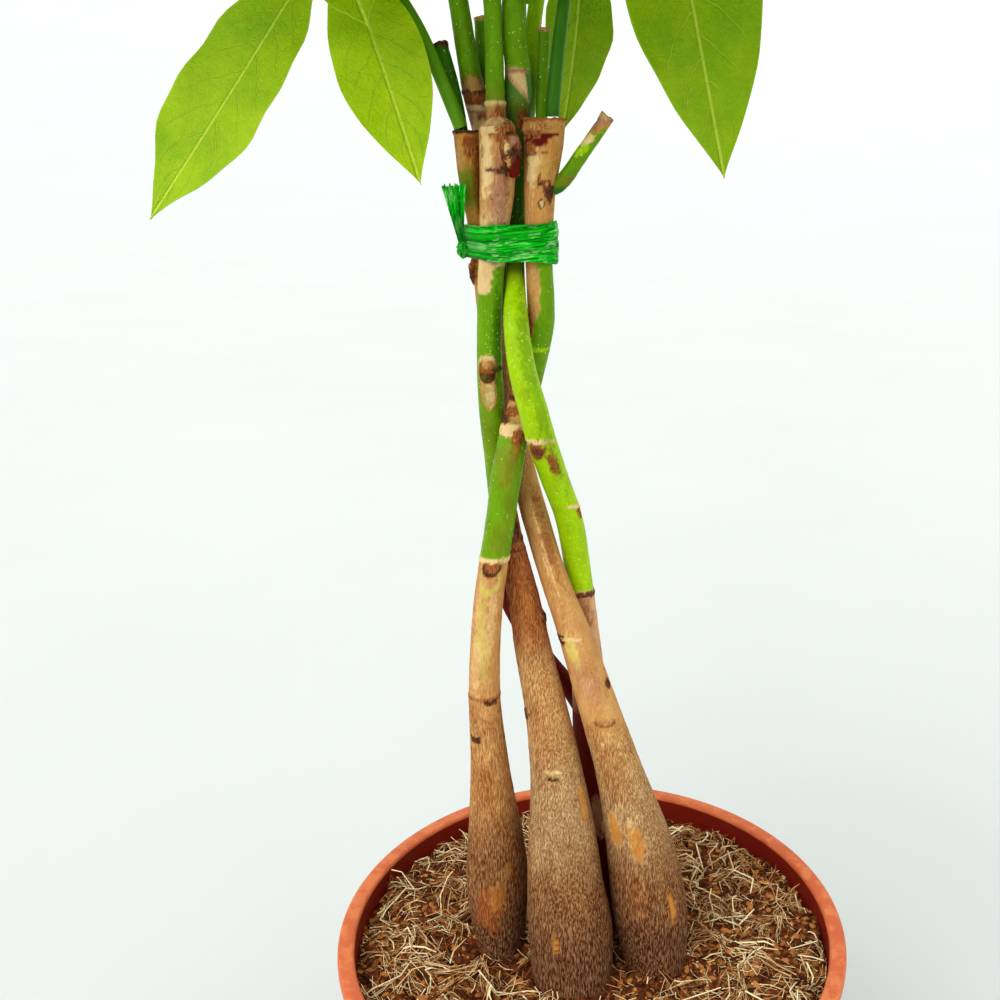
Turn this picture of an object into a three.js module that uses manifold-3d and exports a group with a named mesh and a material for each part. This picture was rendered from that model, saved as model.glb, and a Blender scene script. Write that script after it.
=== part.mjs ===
// Potted money tree: five stems braided into one trunk stand in a round nursery pot, are tied with
// a ribbon under their cut tops, and carry a crown of palmate leaves on long stalks.
// Millimetres, +Z up. The origin is the middle of the pot's underside, and the front faces -Y.
// Every place on the plant is given as its height above the pot's rim, then x and y, and a place
// on a stem, shoot or stalk also has the radius there.

import * as THREE from 'three';
import { mergeVertices } from 'three/addons/utils/BufferGeometryUtils.js';
import Module from 'manifold-3d';

const wasm = await Module();
wasm.setup();

// Driving dimensions of the pot
const potHeight = 130;
const rimRadius = 85;
const rimWidth = 5.5;
const bandHeight = 22;
const bandStep = 3;
const bandTaper = 2;
const lipHeight = 4;
const lipStep = 1.5;
const edgeRound = 1.2;
const baseRadius = 58;
const wallThickness = 2;
const floorThickness = 2.5;
const potSides = 40;
const drainHoles = 5;
const drainRadius = 4;
const drainCircle = 38;

// Driving dimensions of the soil
const soilBelowRim = 8;
const soilRelief = 0.6;
const soilRings = 8;
const wallGap = 0.6;
const seatGap = 0.35;

// Driving dimensions of the plant
const stemSides = 10;
const shootSides = 8;
const stalkSides = 6;
const stalkRadii = [2.2, 1.7, 1.5];
const stalkEndRadius = 1.3;
const stalkGap = 0.95;
const hubRadius = 3.2;
const crownAxis = [-16, 2];
const seed = 7;

// Driving dimensions of a leaflet. The stations run from its root to its tip.
const bladeThickness = 0.8;
const bladeSlimness = 0.35;
const bladeStations = [0, 0.24, 0.5, 0.76, 0.975];
const bladeFold = 0.16;
const bladeWave = 0.09;
const bladeArch = 0.05;
const bladeRoot = 1.6;
const rootHalfWidth = 0.8;
const outlineRise = 1.5;
const outlineFall = 1.25;

// Driving dimensions of the ribbon
const tieBottom = 221.5;
const tieTop = 231;
const tieSides = 24;
const tieGap = 0.3;
const tieBulge = 0.3;
const ribbonThickness = 0.8;
const ribbonPleat = 0.6;

// Finishes
const finishes = {
  terracotta: { color: 0xc4532e, roughness: 0.5, metalness: 0 },
  soil: { color: 0x7a4a26, roughness: 1, metalness: 0 },
  bark: { color: 0x9c7248, roughness: 0.85, metalness: 0 },
  greenBark: { color: 0x6f9a2e, roughness: 0.55, metalness: 0 },
  leaf: { color: 0x8fc31f, roughness: 0.45, metalness: 0 },
  ribbon: { color: 0x0f9a34, roughness: 0.25, metalness: 0 },
};

// The five stems. They start swollen in the soil, cross over each other and meet under the ribbon.
// Stems a, b and c end in cut tops. Stems d and e go on as shoots.
const stems = {
  a: {
    finish: 'bark',
    stations: [
      [-34, -31, -4, 5], [-8, -31, -4, 7.6], [10, -31.5, -4, 9.8], [22, -31.5, -4, 10.1],
      [36, -31.5, -5, 9], [52, -32, -7, 7.2], [70, -32.5, -9, 5.7], [92, -33, -11.5, 4.8],
      [120, -31, -13.5, 4.4], [148, -26.5, -14.5, 4.3], [164, -24, -14, 4.4], [176, -21.5, -10, 4.1],
      [188, -18, -5.5, 4], [204, -14.5, -5, 3.9], [224, -14.6, -7.8, 3.7], [240, -14, -8.5, 4.3],
      [250, -13, -9, 5.2], [258, -12.5, -9, 5.6],
    ],
  },
  b: {
    finish: 'bark',
    stations: [
      [-34, -7, -19, 8], [-8, -6.5, -19, 12.6], [12, -7, -18.5, 13.5], [28, -8.5, -18, 12.1],
      [46, -9.5, -15.5, 10.4], [64, -11, -13, 8.3], [84, -14, -10, 6.7], [104, -18, -7.5, 5.7],
      [124, -21.5, -5.5, 4.7], [142, -25.5, -4.5, 4.1], [160, -27.5, -4, 3.8], [184, -29, -6.5, 3.7],
      [208, -28.5, -8, 3.5], [226, -27, -8.7, 3.8], [240, -25.5, -9.5, 4.7], [256, -25, -10, 4.9],
    ],
  },
  c: {
    finish: 'bark',
    stations: [
      [-34, 22, -12, 6], [-8, 21, -12, 10], [12, 19, -12, 12.2], [26, 17.3, -12, 11.8],
      [44, 14, -12, 10.1], [64, 8.7, -11.5, 7.7], [86, 2, -10, 6.4], [110, -5.5, -7.5, 5.2],
      [128, -12, -5, 4.3], [146, -17.5, -0.5, 4.1], [164, -22.3, 3.2, 3.9], [186, -27, 3.2, 3.8],
      [210, -29.8, 0.5, 3.4], [226, -30.8, -2, 3], [240, -33, -3.5, 3.1], [255, -33.7, -5, 3.6],
    ],
  },
  d: {
    finish: 'greenBark',
    stations: [
      [-34, 4, 10, 6], [-8, 3.5, 9.5, 9.6], [14, 3.5, 9.5, 10.2], [32, 3, 9.5, 9.4],
      [52, 2, 9.5, 8.2], [78, -0.5, 8, 6], [100, -2, 6, 4.8], [118, -3.5, 3.2, 4.2],
      [132, -5, 0, 4.1], [146, -7, -5, 4.2], [160, -11, -10.5, 4.3], [172, -14.2, -15.5, 4.3],
      [182, -16.5, -18.2, 4.2], [194, -19.5, -16.5, 3.8], [206, -21, -12.5, 3.4], [216, -21.3, -6.2, 2.6],
      [226, -21.4, -1.5, 2.6], [240, -20.6, 0, 3], [256, -20, -1, 3.3], [263, -19.9, -3.4, 4],
      [270, -19.6, -4, 3.5], [288, -20.2, -4.5, 3.2], [340, -15, -4, 2.8], [400, -12, -1, 2.3],
      [436, -12, 3, 1.6],
    ],
  },
  e: {
    finish: 'bark',
    stations: [
      [-34, 22, 20, 5], [-6, 22, 19, 8.8], [14, 20.5, 19.5, 8.8], [34, 14, 22.5, 7.4],
      [50, 7, 23.5, 5.5], [64, 0, 21.8, 4.4], [80, -8, 16.2, 3.7], [96, -17.5, 10.5, 3.4],
      [112, -25.5, 8.5, 3.3], [130, -29.5, 7, 3.2], [150, -28, 9.5, 3.3], [166, -25.5, 13, 3.5],
      [182, -24, 12, 3.4], [200, -23.5, 7.8, 3.2], [222, -24.6, 5.6, 3.1], [240, -27, 4.5, 3.1],
      [256, -29.8, 2, 3.3], [264, -31.5, 0.5, 3.4], [272, -33, -0.5, 2.9], [290, -35.5, -1.5, 2.6],
      [330, -42, 4, 2.3], [368, -48, 6, 1.6],
    ],
  },
};

// Branches of the stems: shoots that carry leaves, cut stubs and a knob of old leaf scars
const branches = {
  front: {
    stem: 'b',
    stations: [
      [250, -25.3, -8.5, 2.9], [262, -25.5, -8.3, 2.6], [288, -25.8, -7.5, 2.3],
      [330, -27, -14, 2.2], [366, -30, -20, 1.9], [392, -31, -23, 1.4],
    ],
  },
  twin: {
    stem: 'd',
    stations: [
      [254, -19, -1, 2], [264, -17, 2.5, 2.2], [288, -15, 6, 2.1],
      [324, -7, 14, 2], [350, 0, 20, 1.8], [370, 4, 23, 1.3],
    ],
  },
  behindStub: {
    stem: 'e',
    stations: [[252, -29, 2.5, 2], [264, -29.2, 4.5, 2.2], [284, -29.3, 4.5, 2.4]],
  },
  sideStub: {
    stem: 'c',
    stations: [[250, -34.5, -3.6, 1.8], [264, -37, -2.6, 2], [277, -40.5, -1.6, 2.1]],
  },
  thinStub: {
    stem: 'a',
    stations: [[250, -14, -6, 1.6], [264, -13.4, -1.5, 1.6], [281, -12.8, 0, 1.6]],
  },
  twig: {
    stem: 'a',
    stations: [[240, -12.5, -8.5, 1.6], [241.5, -8.5, -9.5, 2], [250, -2, -11, 1.9], [258.5, 4.2, -12, 1.8]],
  },
  scarKnob: {
    stem: 'b',
    stations: [
      [242, -22.5, -12, 1.4], [247, -21.3, -13, 2.7], [252, -21.1, -13.2, 2.5],
      [257, -22, -12.2, 1.3],
    ],
  },
};

// Leaves that hang low. The hub joins the stalk and the leaflets, and facing is the way that the
// upper faces look. A leaflet is twisted about its own length by turn, in degrees, and bowed
// sideways by bow.
const lowLeaves = {
  leaf_c_1: {
    stalk: [
      [256, -35, -7, 1.9], [260, -36.5, -7.4, 1.9], [271, -41, -7, 1.8], [283, -46.8, -5, 1.7],
      [299, -58, 0, 1.5],
    ],
    hub: [306, -68.5, 5],
    facing: [-0.15, -0.82, 0.55],
    leaflets: [
      { tip: [232.5, -118, -14], bow: 4.5 },
      { tip: [241.5, -45, -16], bow: 1 },
      { tip: [277, -51, -46] },
      { tip: [314, -158, 24] },
      { tip: [316, -110, 82] },
    ],
  },
  leaf_a_1: {
    stalk: [
      [258.6, -10.4, -8.6, 1.9], [263, -10.2, -8.2, 1.9], [278, -8.6, -5, 1.8], [294, -6, -2, 1.6],
      [320, 1, 4, 1.4],
    ],
    hub: [341, 15, 10],
    facing: [0.1, -0.85, 0.5],
    leaflets: [
      { tip: [243, 35, -14], bow: -1.5 },
      { tip: [306, 104, 8] },
      { tip: [296, 70, -62] },
      { tip: [304, -14, -62] },
      { tip: [312, 66, 84] },
    ],
  },
  leaf_d_1: {
    stalk: [[302, -10.6, 12.9, 1.8], [306, -8.6, 19, 1.5], [313, -4.8, 29, 1.4]],
    hub: [318, -2.5, 36],
    facing: [0.2, -0.5, 0.85],
    leaflets: [
      { tip: [255, -9, 28], turn: -20 },
      { tip: [326, 40, 122] },
      { tip: [330, -22, 142] },
      { tip: [334, -66, 100] },
    ],
  },
};

// Tiers of the crown. The hubs of a tier stand round the crown's axis at its reach, and spread is
// the angle that a leaf's leaflets fan over. A leaf's stalk starts at its carrier, at foot.
const tiers = [
  {
    height: 354, reach: 88, tilt: 12, length: 108, spread: 290,
    leaves: [
      { heading: 15, lift: 20, carrier: 'twin', foot: 338 },
      { heading: 135, lift: 24, carrier: 'e', foot: 318 },
      { heading: 195, lift: 0, carrier: 'e', foot: 300 },
      { heading: 255, lift: 16, carrier: 'front', foot: 330 },
      { heading: 315, lift: 0, carrier: 'd', foot: 290 },
    ],
  },
  {
    height: 398, reach: 58, tilt: 8, length: 102, spread: 280,
    leaves: [
      { heading: 45, lift: 6, carrier: 'twin', foot: 356 },
      { heading: 135, lift: 26, carrier: 'e', foot: 354 },
      { heading: 215, lift: 0, carrier: 'front', foot: 368 },
      { heading: 315, lift: 30, carrier: 'd', foot: 378 },
    ],
  },
  {
    height: 456, reach: 20, tilt: 16, length: 80, spread: 240,
    leaves: [
      { heading: 80, lift: 0, carrier: 'd', foot: 404 },
      { heading: 200, lift: 12, carrier: 'd', foot: 416 },
      { heading: 320, lift: 24, carrier: 'd', foot: 428 },
    ],
  },
];

// How far the crown's leaves stray from their tier, in degrees and millimetres
const headingStray = 6;
const hubStray = 3;
const tiltStray = 4;

// How a crown leaf's leaflets shorten towards the stalk and droop, as shares of their length
const fanShrink = 0.32;
const fanShrinkFrom = 150;
const leafletDroop = 0.28;

// How a crown leaf's stalk bends between its foot and its hub
const kneeReach = 4;
const shoulderShare = 0.55;
const shoulderSag = 6;

const up = new THREE.Vector3(0, 0, 1);
const radians = THREE.MathUtils.degToRad;

// The point at a height above the rim.
function place([height, x, y]) {
  return new THREE.Vector3(x, y, potHeight + height);
}

// Small repeatable draws between -1 and 1.
let drawState = seed;
function draw() {
  drawState = (drawState * 1664525 + 1013904223) % 4294967296;
  return (drawState / 4294967296) * 2 - 1;
}

// A table's row at a value of its first column, read between the rows that are given.
function rowAt(table, value) {
  const above = table.findIndex((row) => row[0] >= value);
  const k = above < 0 ? table.length - 1 : Math.max(above, 1);
  const low = table[k - 1];
  const high = table[k];
  const share = Math.min((value - low[0]) / (high[0] - low[0]), 1);
  return low.map((number, column) => number + share * (high[column] - number));
}

// A smooth curve through a row of numbers, read at a fractional index.
function smooth(values, index) {
  const last = values.length - 1;
  const i = Math.min(Math.floor(index), last - 1);
  const f = index - i;
  const p0 = values[Math.max(i - 1, 0)];
  const p1 = values[i];
  const p2 = values[i + 1];
  const p3 = values[Math.min(i + 2, last)];
  const bend = 2 * p0 - 5 * p1 + 4 * p2 - p3;
  const twist = 3 * p1 - p0 - 3 * p2 + p3;
  return 0.5 * (2 * p1 + (p2 - p0) * f + bend * f * f + twist * f * f * f);
}

// A geometry from loose triangles.
function fromTriangles(triangles) {
  const geometry = new THREE.BufferGeometry();
  const numbers = triangles.flatMap((corner) => [corner.x, corner.y, corner.z]);
  geometry.setAttribute('position', new THREE.Float32BufferAttribute(numbers, 3));
  return geometry;
}

// The two triangles between each pair of neighbours on two closed loops.
function sleeve(lower, upper) {
  return lower.flatMap((corner, j) => {
    const n = (j + 1) % lower.length;
    return [corner, lower[n], upper[n], corner, upper[n], upper[j]];
  });
}

// A closed body through a stack of rings, with its two ends closed by fans.
function loft(rings) {
  const triangles = rings.slice(1).flatMap((ring, k) => sleeve(rings[k], ring));
  const middle = (ring) => {
    const sum = ring.reduce((total, corner) => total.add(corner), new THREE.Vector3());
    return sum.divideScalar(ring.length);
  };
  const first = rings[0];
  const last = rings[rings.length - 1];
  const start = middle(first);
  const end = middle(last);
  for (let j = 0; j < first.length; j += 1) {
    const n = (j + 1) % first.length;
    triangles.push(start, first[n], first[j]);
    triangles.push(end, last[j], last[n]);
  }
  return fromTriangles(triangles);
}

// A level ring of corners round an upright line.
function levelRing(x, y, z, radius, sides) {
  return Array.from({ length: sides }, (_, j) => {
    const angle = (2 * Math.PI * j) / sides;
    return new THREE.Vector3(x + radius * Math.cos(angle), y + radius * Math.sin(angle), z);
  });
}

// Solids for joining and cutting, and back.
function toSolid(geometry) {
  const bare = geometry.index ? geometry.toNonIndexed() : geometry.clone();
  bare.deleteAttribute('normal');
  bare.deleteAttribute('uv');
  const merged = mergeVertices(bare, 1e-4);
  return new wasm.Manifold(new wasm.Mesh({
    numProp: 3,
    vertProperties: new Float32Array(merged.attributes.position.array),
    triVerts: new Uint32Array(merged.index.array),
  }));
}

function toGeometry(solid) {
  const mesh = solid.getMesh();
  const geometry = new THREE.BufferGeometry();
  const corners = new Float32Array(mesh.vertProperties);
  geometry.setAttribute('position', new THREE.BufferAttribute(corners, 3));
  geometry.setIndex(new THREE.BufferAttribute(new Uint32Array(mesh.triVerts), 1));
  return geometry;
}

function join(geometries) {
  return geometries.map(toSolid).reduce((whole, piece) => whole.add(piece));
}

const plant = new THREE.Group();

function addPiece(name, solid, finish) {
  const mesh = new THREE.Mesh(toGeometry(solid), new THREE.MeshStandardMaterial(finishes[finish]));
  mesh.name = name;
  plant.add(mesh);
}

// A stem as a stack of level rings. Extra thickness widens it and lowers its foot, which gives
// the hole that it stands in.
function stemBody(stations, extra) {
  return loft(stations.map(([height, x, y, radius], k) => {
    const level = potHeight + height - (k === 0 ? extra : 0);
    return levelRing(x, y, level, radius + extra, stemSides);
  }));
}

// A round tube along stations, with its rings square to the path.
function tube(stations, sides) {
  const ringsPerStation = 2;
  const curve = new THREE.CatmullRomCurve3(stations.map(place));
  const radii = stations.map((station) => station[3]);
  const steps = (stations.length - 1) * ringsPerStation;
  const rings = [];
  const side = new THREE.Vector3(1, 0, 0);
  for (let k = 0; k <= steps; k += 1) {
    const centre = curve.getPoint(k / steps);
    const along = curve.getTangent(k / steps);
    side.addScaledVector(along, -side.dot(along)).normalize();
    const across = along.clone().cross(side);
    const radius = smooth(radii, k / ringsPerStation);
    rings.push(Array.from({ length: sides }, (_, j) => {
      const angle = (2 * Math.PI * j) / sides;
      const corner = centre.clone().addScaledVector(side, radius * Math.cos(angle));
      return corner.addScaledVector(across, radius * Math.sin(angle));
    }));
  }
  return loft(rings);
}

// Half width of a leaflet along its rib, from 0 at the root to 1 at its widest and 0 at the tip.
function outline(t) {
  const widest = outlineRise / (outlineRise + outlineFall);
  return (t / widest) ** outlineRise * ((1 - t) / (1 - widest)) ** outlineFall;
}

// One leaflet from the hub to its tip: an arched blade, folded a little along the rib, with a
// waved edge. Both faces are split along the same lines.
function leaflet(hub, { tip, turn = 0, bow = 0 }, facing) {
  const end = place(tip);
  const along = end.clone().sub(hub).normalize();
  const root = hub.clone().addScaledVector(along, bladeRoot);
  const length = root.distanceTo(end);
  const leftward = facing.clone().cross(along).normalize().applyAxisAngle(along, radians(turn));
  const upward = along.clone().cross(leftward);
  const rows = bladeStations.map((t, k) => {
    const half = Math.max(0.5 * bladeSlimness * length * outline(t), rootHalfWidth);
    const bulge = 4 * t * (1 - t);
    const rib = root.clone().addScaledVector(along, t * length);
    rib.addScaledVector(upward, bladeArch * length * bulge).addScaledVector(leftward, bow * bulge);
    const wave = (k % 2 === 0 ? 1 : -1) * bladeWave;
    const left = rib.clone().addScaledVector(leftward, half);
    left.addScaledVector(upward, (bladeFold + wave) * half);
    const right = rib.clone().addScaledVector(leftward, -half);
    right.addScaledVector(upward, (bladeFold - wave) * half);
    return [left, rib, right];
  });
  const lower = (corner) => corner.clone().addScaledVector(upward, -bladeThickness);
  const triangles = [];
  const face = (...corners) => {
    const [a, b, c, d] = corners;
    const [e, f, g, h] = corners.map(lower);
    triangles.push(a, b, c, a, c, d, e, g, f, e, h, g);
  };
  const wall = (a, b) => {
    triangles.push(b, a, lower(a), b, lower(a), lower(b));
  };
  for (let k = 0; k + 1 < rows.length; k += 1) {
    const [left, rib, right] = rows[k];
    const [nextLeft, nextRib, nextRight] = rows[k + 1];
    face(left, rib, nextRib, nextLeft);
    face(rib, right, nextRight, nextRib);
    wall(nextLeft, left);
    wall(right, nextRight);
  }
  const [left, rib, right] = rows[0];
  wall(left, rib);
  wall(rib, right);
  const [endLeft, endRib, endRight] = rows[rows.length - 1];
  wall(endRib, endLeft);
  wall(endRight, endRib);
  return fromTriangles(triangles);
}

// A whole leaf: stalk, hub and leaflets grown together.
function addLeaf(name, { stalk, hub, facing, leaflets }) {
  const centre = place(hub);
  const knob = new THREE.IcosahedronGeometry(hubRadius, 0).translate(centre.x, centre.y, centre.z);
  const fingers = leaflets.map((finger) => leaflet(centre, finger, facing));
  const body = join([tube([...stalk, [...hub, stalkEndRadius]], stalkSides), knob, ...fingers]);
  addPiece(name, body, 'leaf');
}

// Pot: turned wall with a banded rim and a flat underside with drain holes
const rimInner = rimRadius - rimWidth;
const bandBottom = potHeight - bandHeight;
const bandRadius = rimRadius - lipStep - bandTaper;
const bodyRadius = bandRadius - bandStep;
const innerWall = [
  [floorThickness, baseRadius - wallThickness],
  [bandBottom - wallThickness, bodyRadius - wallThickness],
  [bandBottom + wallThickness, rimInner - 0.5],
  [potHeight - edgeRound, rimInner],
];
const outerWall = [
  [0, baseRadius - edgeRound],
  [edgeRound, baseRadius],
  [bandBottom, bodyRadius],
  [bandBottom, bandRadius],
  [potHeight - lipHeight, rimRadius - lipStep],
  [potHeight - lipHeight + 1, rimRadius],
  [potHeight - edgeRound, rimRadius],
  [potHeight, rimRadius - edgeRound],
  [potHeight, rimInner + edgeRound],
];
const potProfile = [[0, 0], ...outerWall, ...[...innerWall].reverse(), [floorThickness, 0]];
const potTurned = new THREE.LatheGeometry(
  potProfile.map(([height, radius]) => new THREE.Vector2(radius, height)),
  potSides,
);
let pot = toSolid(potTurned.rotateX(Math.PI / 2));
for (let k = 0; k < drainHoles; k += 1) {
  const angle = (2 * Math.PI * (k + 0.5)) / drainHoles;
  const drill = new THREE.CylinderGeometry(drainRadius, drainRadius, 4 * floorThickness, 12);
  drill.rotateX(Math.PI / 2);
  drill.translate(drainCircle * Math.cos(angle), drainCircle * Math.sin(angle), 0);
  pot = pot.subtract(toSolid(drill));
}
addPiece('pot', pot, 'terracotta');

// Soil: fills the pot, with a rough top and a hole round each stem
const soilTop = potHeight - soilBelowRim;
const soilSide = [
  floorThickness + seatGap,
  bandBottom - wallThickness,
  bandBottom + wallThickness,
  soilTop,
];
const soilStack = soilSide.map((z) => levelRing(0, 0, z, rowAt(innerWall, z)[1] - wallGap, potSides));
const soilRadius = rowAt(innerWall, soilTop)[1] - wallGap;
for (let k = soilRings - 1; k > 0; k -= 1) {
  const ring = levelRing(0, 0, soilTop, (soilRadius * k) / soilRings, potSides);
  ring.forEach((corner, j) => {
    const angle = (2 * Math.PI * j) / potSides;
    const lump = Math.sin(5 * angle + 1.7 * k) + Math.sin(9 * angle - 2.3 * k);
    corner.z += soilRelief * (lump + Math.sin(3.1 * k + 2 * angle));
  });
  soilStack.push(ring);
}
let soil = toSolid(loft(soilStack));
for (const { stations } of Object.values(stems)) {
  soil = soil.subtract(toSolid(stemBody(stations, seatGap)));
}
addPiece('soil', soil, 'soil');

// Stems with their branches
for (const [name, { stations, finish }] of Object.entries(stems)) {
  const own = Object.values(branches).filter(({ stem }) => stem === name);
  const grown = own.map((branch) => tube(branch.stations, shootSides));
  addPiece(`stem_${name}`, join([stemBody(stations, 0), ...grown]), finish);
}

// Low leaves, placed one by one
for (const [name, { facing, ...rest }] of Object.entries(lowLeaves)) {
  addLeaf(name, { ...rest, facing: new THREE.Vector3(...facing).normalize() });
}

// Crown leaves, tier by tier
const lastNumber = { a: 1, b: 0, c: 1, d: 1, e: 0 };
for (const { height, reach, tilt, length, spread, leaves } of tiers) {
  leaves.forEach(({ heading, lift, carrier, foot }, index) => {
    const turned = radians(heading + headingStray * draw());
    const outward = new THREE.Vector3(Math.cos(turned), Math.sin(turned), 0);
    const hubHeight = height + lift + hubStray * draw();
    const hub = [hubHeight, crownAxis[0] + reach * outward.x, crownAxis[1] + reach * outward.y];
    const slope = radians(tilt + tiltStray * draw());
    const forward = outward.clone().multiplyScalar(Math.cos(slope)).addScaledVector(up, -Math.sin(slope));
    const sideways = up.clone().cross(outward);
    const facing = forward.clone().cross(sideways).normalize();

    // Leaflets fan out from the hub, the middle one the longest
    const count = 5 + (index % 2);
    const leaflets = Array.from({ length: count }, (_, k) => {
      const fan = ((k - (count - 1) / 2) * spread) / count;
      const size = length * (1 - fanShrink * (Math.abs(fan) / fanShrinkFrom) ** 1.5);
      const reachOut = forward.clone().multiplyScalar(size * Math.cos(radians(fan)));
      reachOut.addScaledVector(sideways, size * Math.sin(radians(fan)));
      return { tip: [hub[0] + reachOut.z - leafletDroop * size, hub[1] + reachOut.x, hub[2] + reachOut.y] };
    });

    // The stalk leaves its carrier level, then rises to the hub
    const { stem = carrier, stations } = branches[carrier] ?? stems[carrier];
    const [, x, y, radius] = rowAt(stations, foot);
    const away = new THREE.Vector2(hub[1] - x, hub[2] - y).normalize();
    const start = [foot, x + away.x * (radius + stalkGap), y + away.y * (radius + stalkGap)];
    const knee = [foot, start[1] + away.x * kneeReach, start[2] + away.y * kneeReach];
    const shoulder = start.map((number, column) => number + shoulderShare * (hub[column] - number));
    shoulder[0] -= shoulderSag;
    const stalk = [start, knee, shoulder].map((point, k) => [...point, stalkRadii[k]]);
    lastNumber[stem] += 1;
    addLeaf(`leaf_${stem}_${lastNumber[stem]}`, { stalk, hub, facing, leaflets });
  });
}

// Ribbon: a taut band round the bundle of stems, with a knot at the left and a pleated tail
const tieHeights = [0, 0.25, 0.5, 0.75, 1].map((share) => tieBottom + share * (tieTop - tieBottom));
const bundle = tieHeights.flatMap(
  (height) => Object.values(stems).map(({ stations }) => rowAt(stations, height)),
);
function tautLoop(clearance, height) {
  const angles = Array.from({ length: tieSides }, (_, j) => (2 * Math.PI * j) / tieSides);
  const support = angles.map((angle) => {
    const edges = bundle.map(([, x, y, radius]) => x * Math.cos(angle) + y * Math.sin(angle) + radius);
    return Math.max(...edges) + clearance;
  });
  const pitch = Math.sin((2 * Math.PI) / tieSides);
  return angles.map((angle, j) => {
    const n = (j + 1) % tieSides;
    const x = (support[j] * Math.sin(angles[n]) - support[n] * Math.sin(angle)) / pitch;
    const y = (support[n] * Math.cos(angle) - support[j] * Math.cos(angles[n])) / pitch;
    return place([height, x, y]);
  });
}
const tieOuter = tieGap + ribbonThickness;
const tieLoops = [
  tautLoop(tieOuter, tieBottom),
  tautLoop(tieOuter + tieBulge, (tieBottom + tieTop) / 2),
  tautLoop(tieOuter, tieTop),
  tautLoop(tieGap, tieTop),
  tautLoop(tieGap, tieBottom),
];
const band = fromTriangles(
  tieLoops.flatMap((loop, k) => sleeve(loop, tieLoops[(k + 1) % tieLoops.length])),
);
const knotCentre = place([224, -35.6, -5.4]);
const knot = new THREE.IcosahedronGeometry(1, 1).scale(1.7, 1.7, 2.4).translate(...knotCentre.toArray());

// Rows of the tail, from the knot to its free end: half width, shift in x, shift in y, rise
const tailRows = [
  [0.6, 0, -0.6, 0],
  [1.2, -0.6, -2, 5],
  [2.2, -1.1, -3.2, 11],
  [3.4, -1.5, -3.8, 17],
];
const tail = loft(tailRows.map(([half, shiftX, shiftY, rise]) => {
  const pleats = [-1, -0.5, 0, 0.5, 1].map((share, k) => [share * half, (k % 2) * ribbonPleat]);
  const front = pleats.map(([x, y]) => new THREE.Vector3(x, y, 0));
  const back = pleats.map(([x, y]) => new THREE.Vector3(x, y + ribbonThickness, 0)).reverse();
  const shift = knotCentre.clone().add(new THREE.Vector3(shiftX, shiftY, rise));
  return [...front, ...back].map((corner) => corner.add(shift));
}));
addPiece('tie', join([band, knot, tail]), 'ribbon');

export default plant;
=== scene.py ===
"""Potted money tree: the finished look of the plant, its ribbon, its pot and the soil.

Sizes are millimetres in the frame of the part, and become metres where a mesh is made. The rim
of the pot is the level that heights on the plant are counted from.
"""

import logging
import math
from dataclasses import dataclass, field
from enum import Enum

import bpy
import numpy as np
from bpy.types import ID, Material, Mesh, Node, NodeOutputs, NodeSocket, NodeTree, Object
from mathutils import Matrix, Vector, noise


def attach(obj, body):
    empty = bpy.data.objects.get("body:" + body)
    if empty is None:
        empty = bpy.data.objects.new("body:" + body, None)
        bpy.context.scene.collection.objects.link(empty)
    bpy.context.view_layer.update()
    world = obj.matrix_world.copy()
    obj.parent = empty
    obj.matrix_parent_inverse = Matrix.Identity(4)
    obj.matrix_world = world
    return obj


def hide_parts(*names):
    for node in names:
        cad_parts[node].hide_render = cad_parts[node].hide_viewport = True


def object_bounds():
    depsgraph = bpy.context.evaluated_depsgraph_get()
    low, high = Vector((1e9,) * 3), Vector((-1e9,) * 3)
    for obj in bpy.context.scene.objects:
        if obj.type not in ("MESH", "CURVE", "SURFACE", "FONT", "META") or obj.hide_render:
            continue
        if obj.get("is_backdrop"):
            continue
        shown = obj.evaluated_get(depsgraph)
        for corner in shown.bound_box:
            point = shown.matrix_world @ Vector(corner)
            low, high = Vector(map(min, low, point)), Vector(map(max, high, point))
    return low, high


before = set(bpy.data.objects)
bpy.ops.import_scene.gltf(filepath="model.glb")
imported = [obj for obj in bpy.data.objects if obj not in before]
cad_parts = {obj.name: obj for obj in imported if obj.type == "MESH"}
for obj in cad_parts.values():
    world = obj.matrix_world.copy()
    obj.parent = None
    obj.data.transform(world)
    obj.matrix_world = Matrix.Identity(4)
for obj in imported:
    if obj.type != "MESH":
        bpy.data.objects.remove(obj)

LOG = logging.getLogger("money_tree")
MM = 0.001
POT_HEIGHT = 130.0
SOIL_DEPTH = 8.0
NOISE_STEP = (7.3, 3.1, 5.7)
CRACK_HALF, CRACK_STEEP = 0.12, 8.0
STRAND_POINTS, STRAND_SIDES, BEND_WAVES = 5, 3, 90.0
GRAIN_STRETCH, GRAIN_SHADE = 1.7, 0.45
VEIN_PAIRS, VEIN_SWEEP, VEIN_CURVE = 9.0, 0.2, 1.3
ACROSS_STALKS = (0.31, 0.2, 0.93)
DRAW_TIMES, DRAW_PLUS, DRAW_SPAN = 1664525, 1013904223, 4294967296

Point = tuple[float, float, float]
Station = tuple[float, float, float, float]  # height, x, y and radius on a path
Faces = list[tuple[int, ...]]


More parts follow.
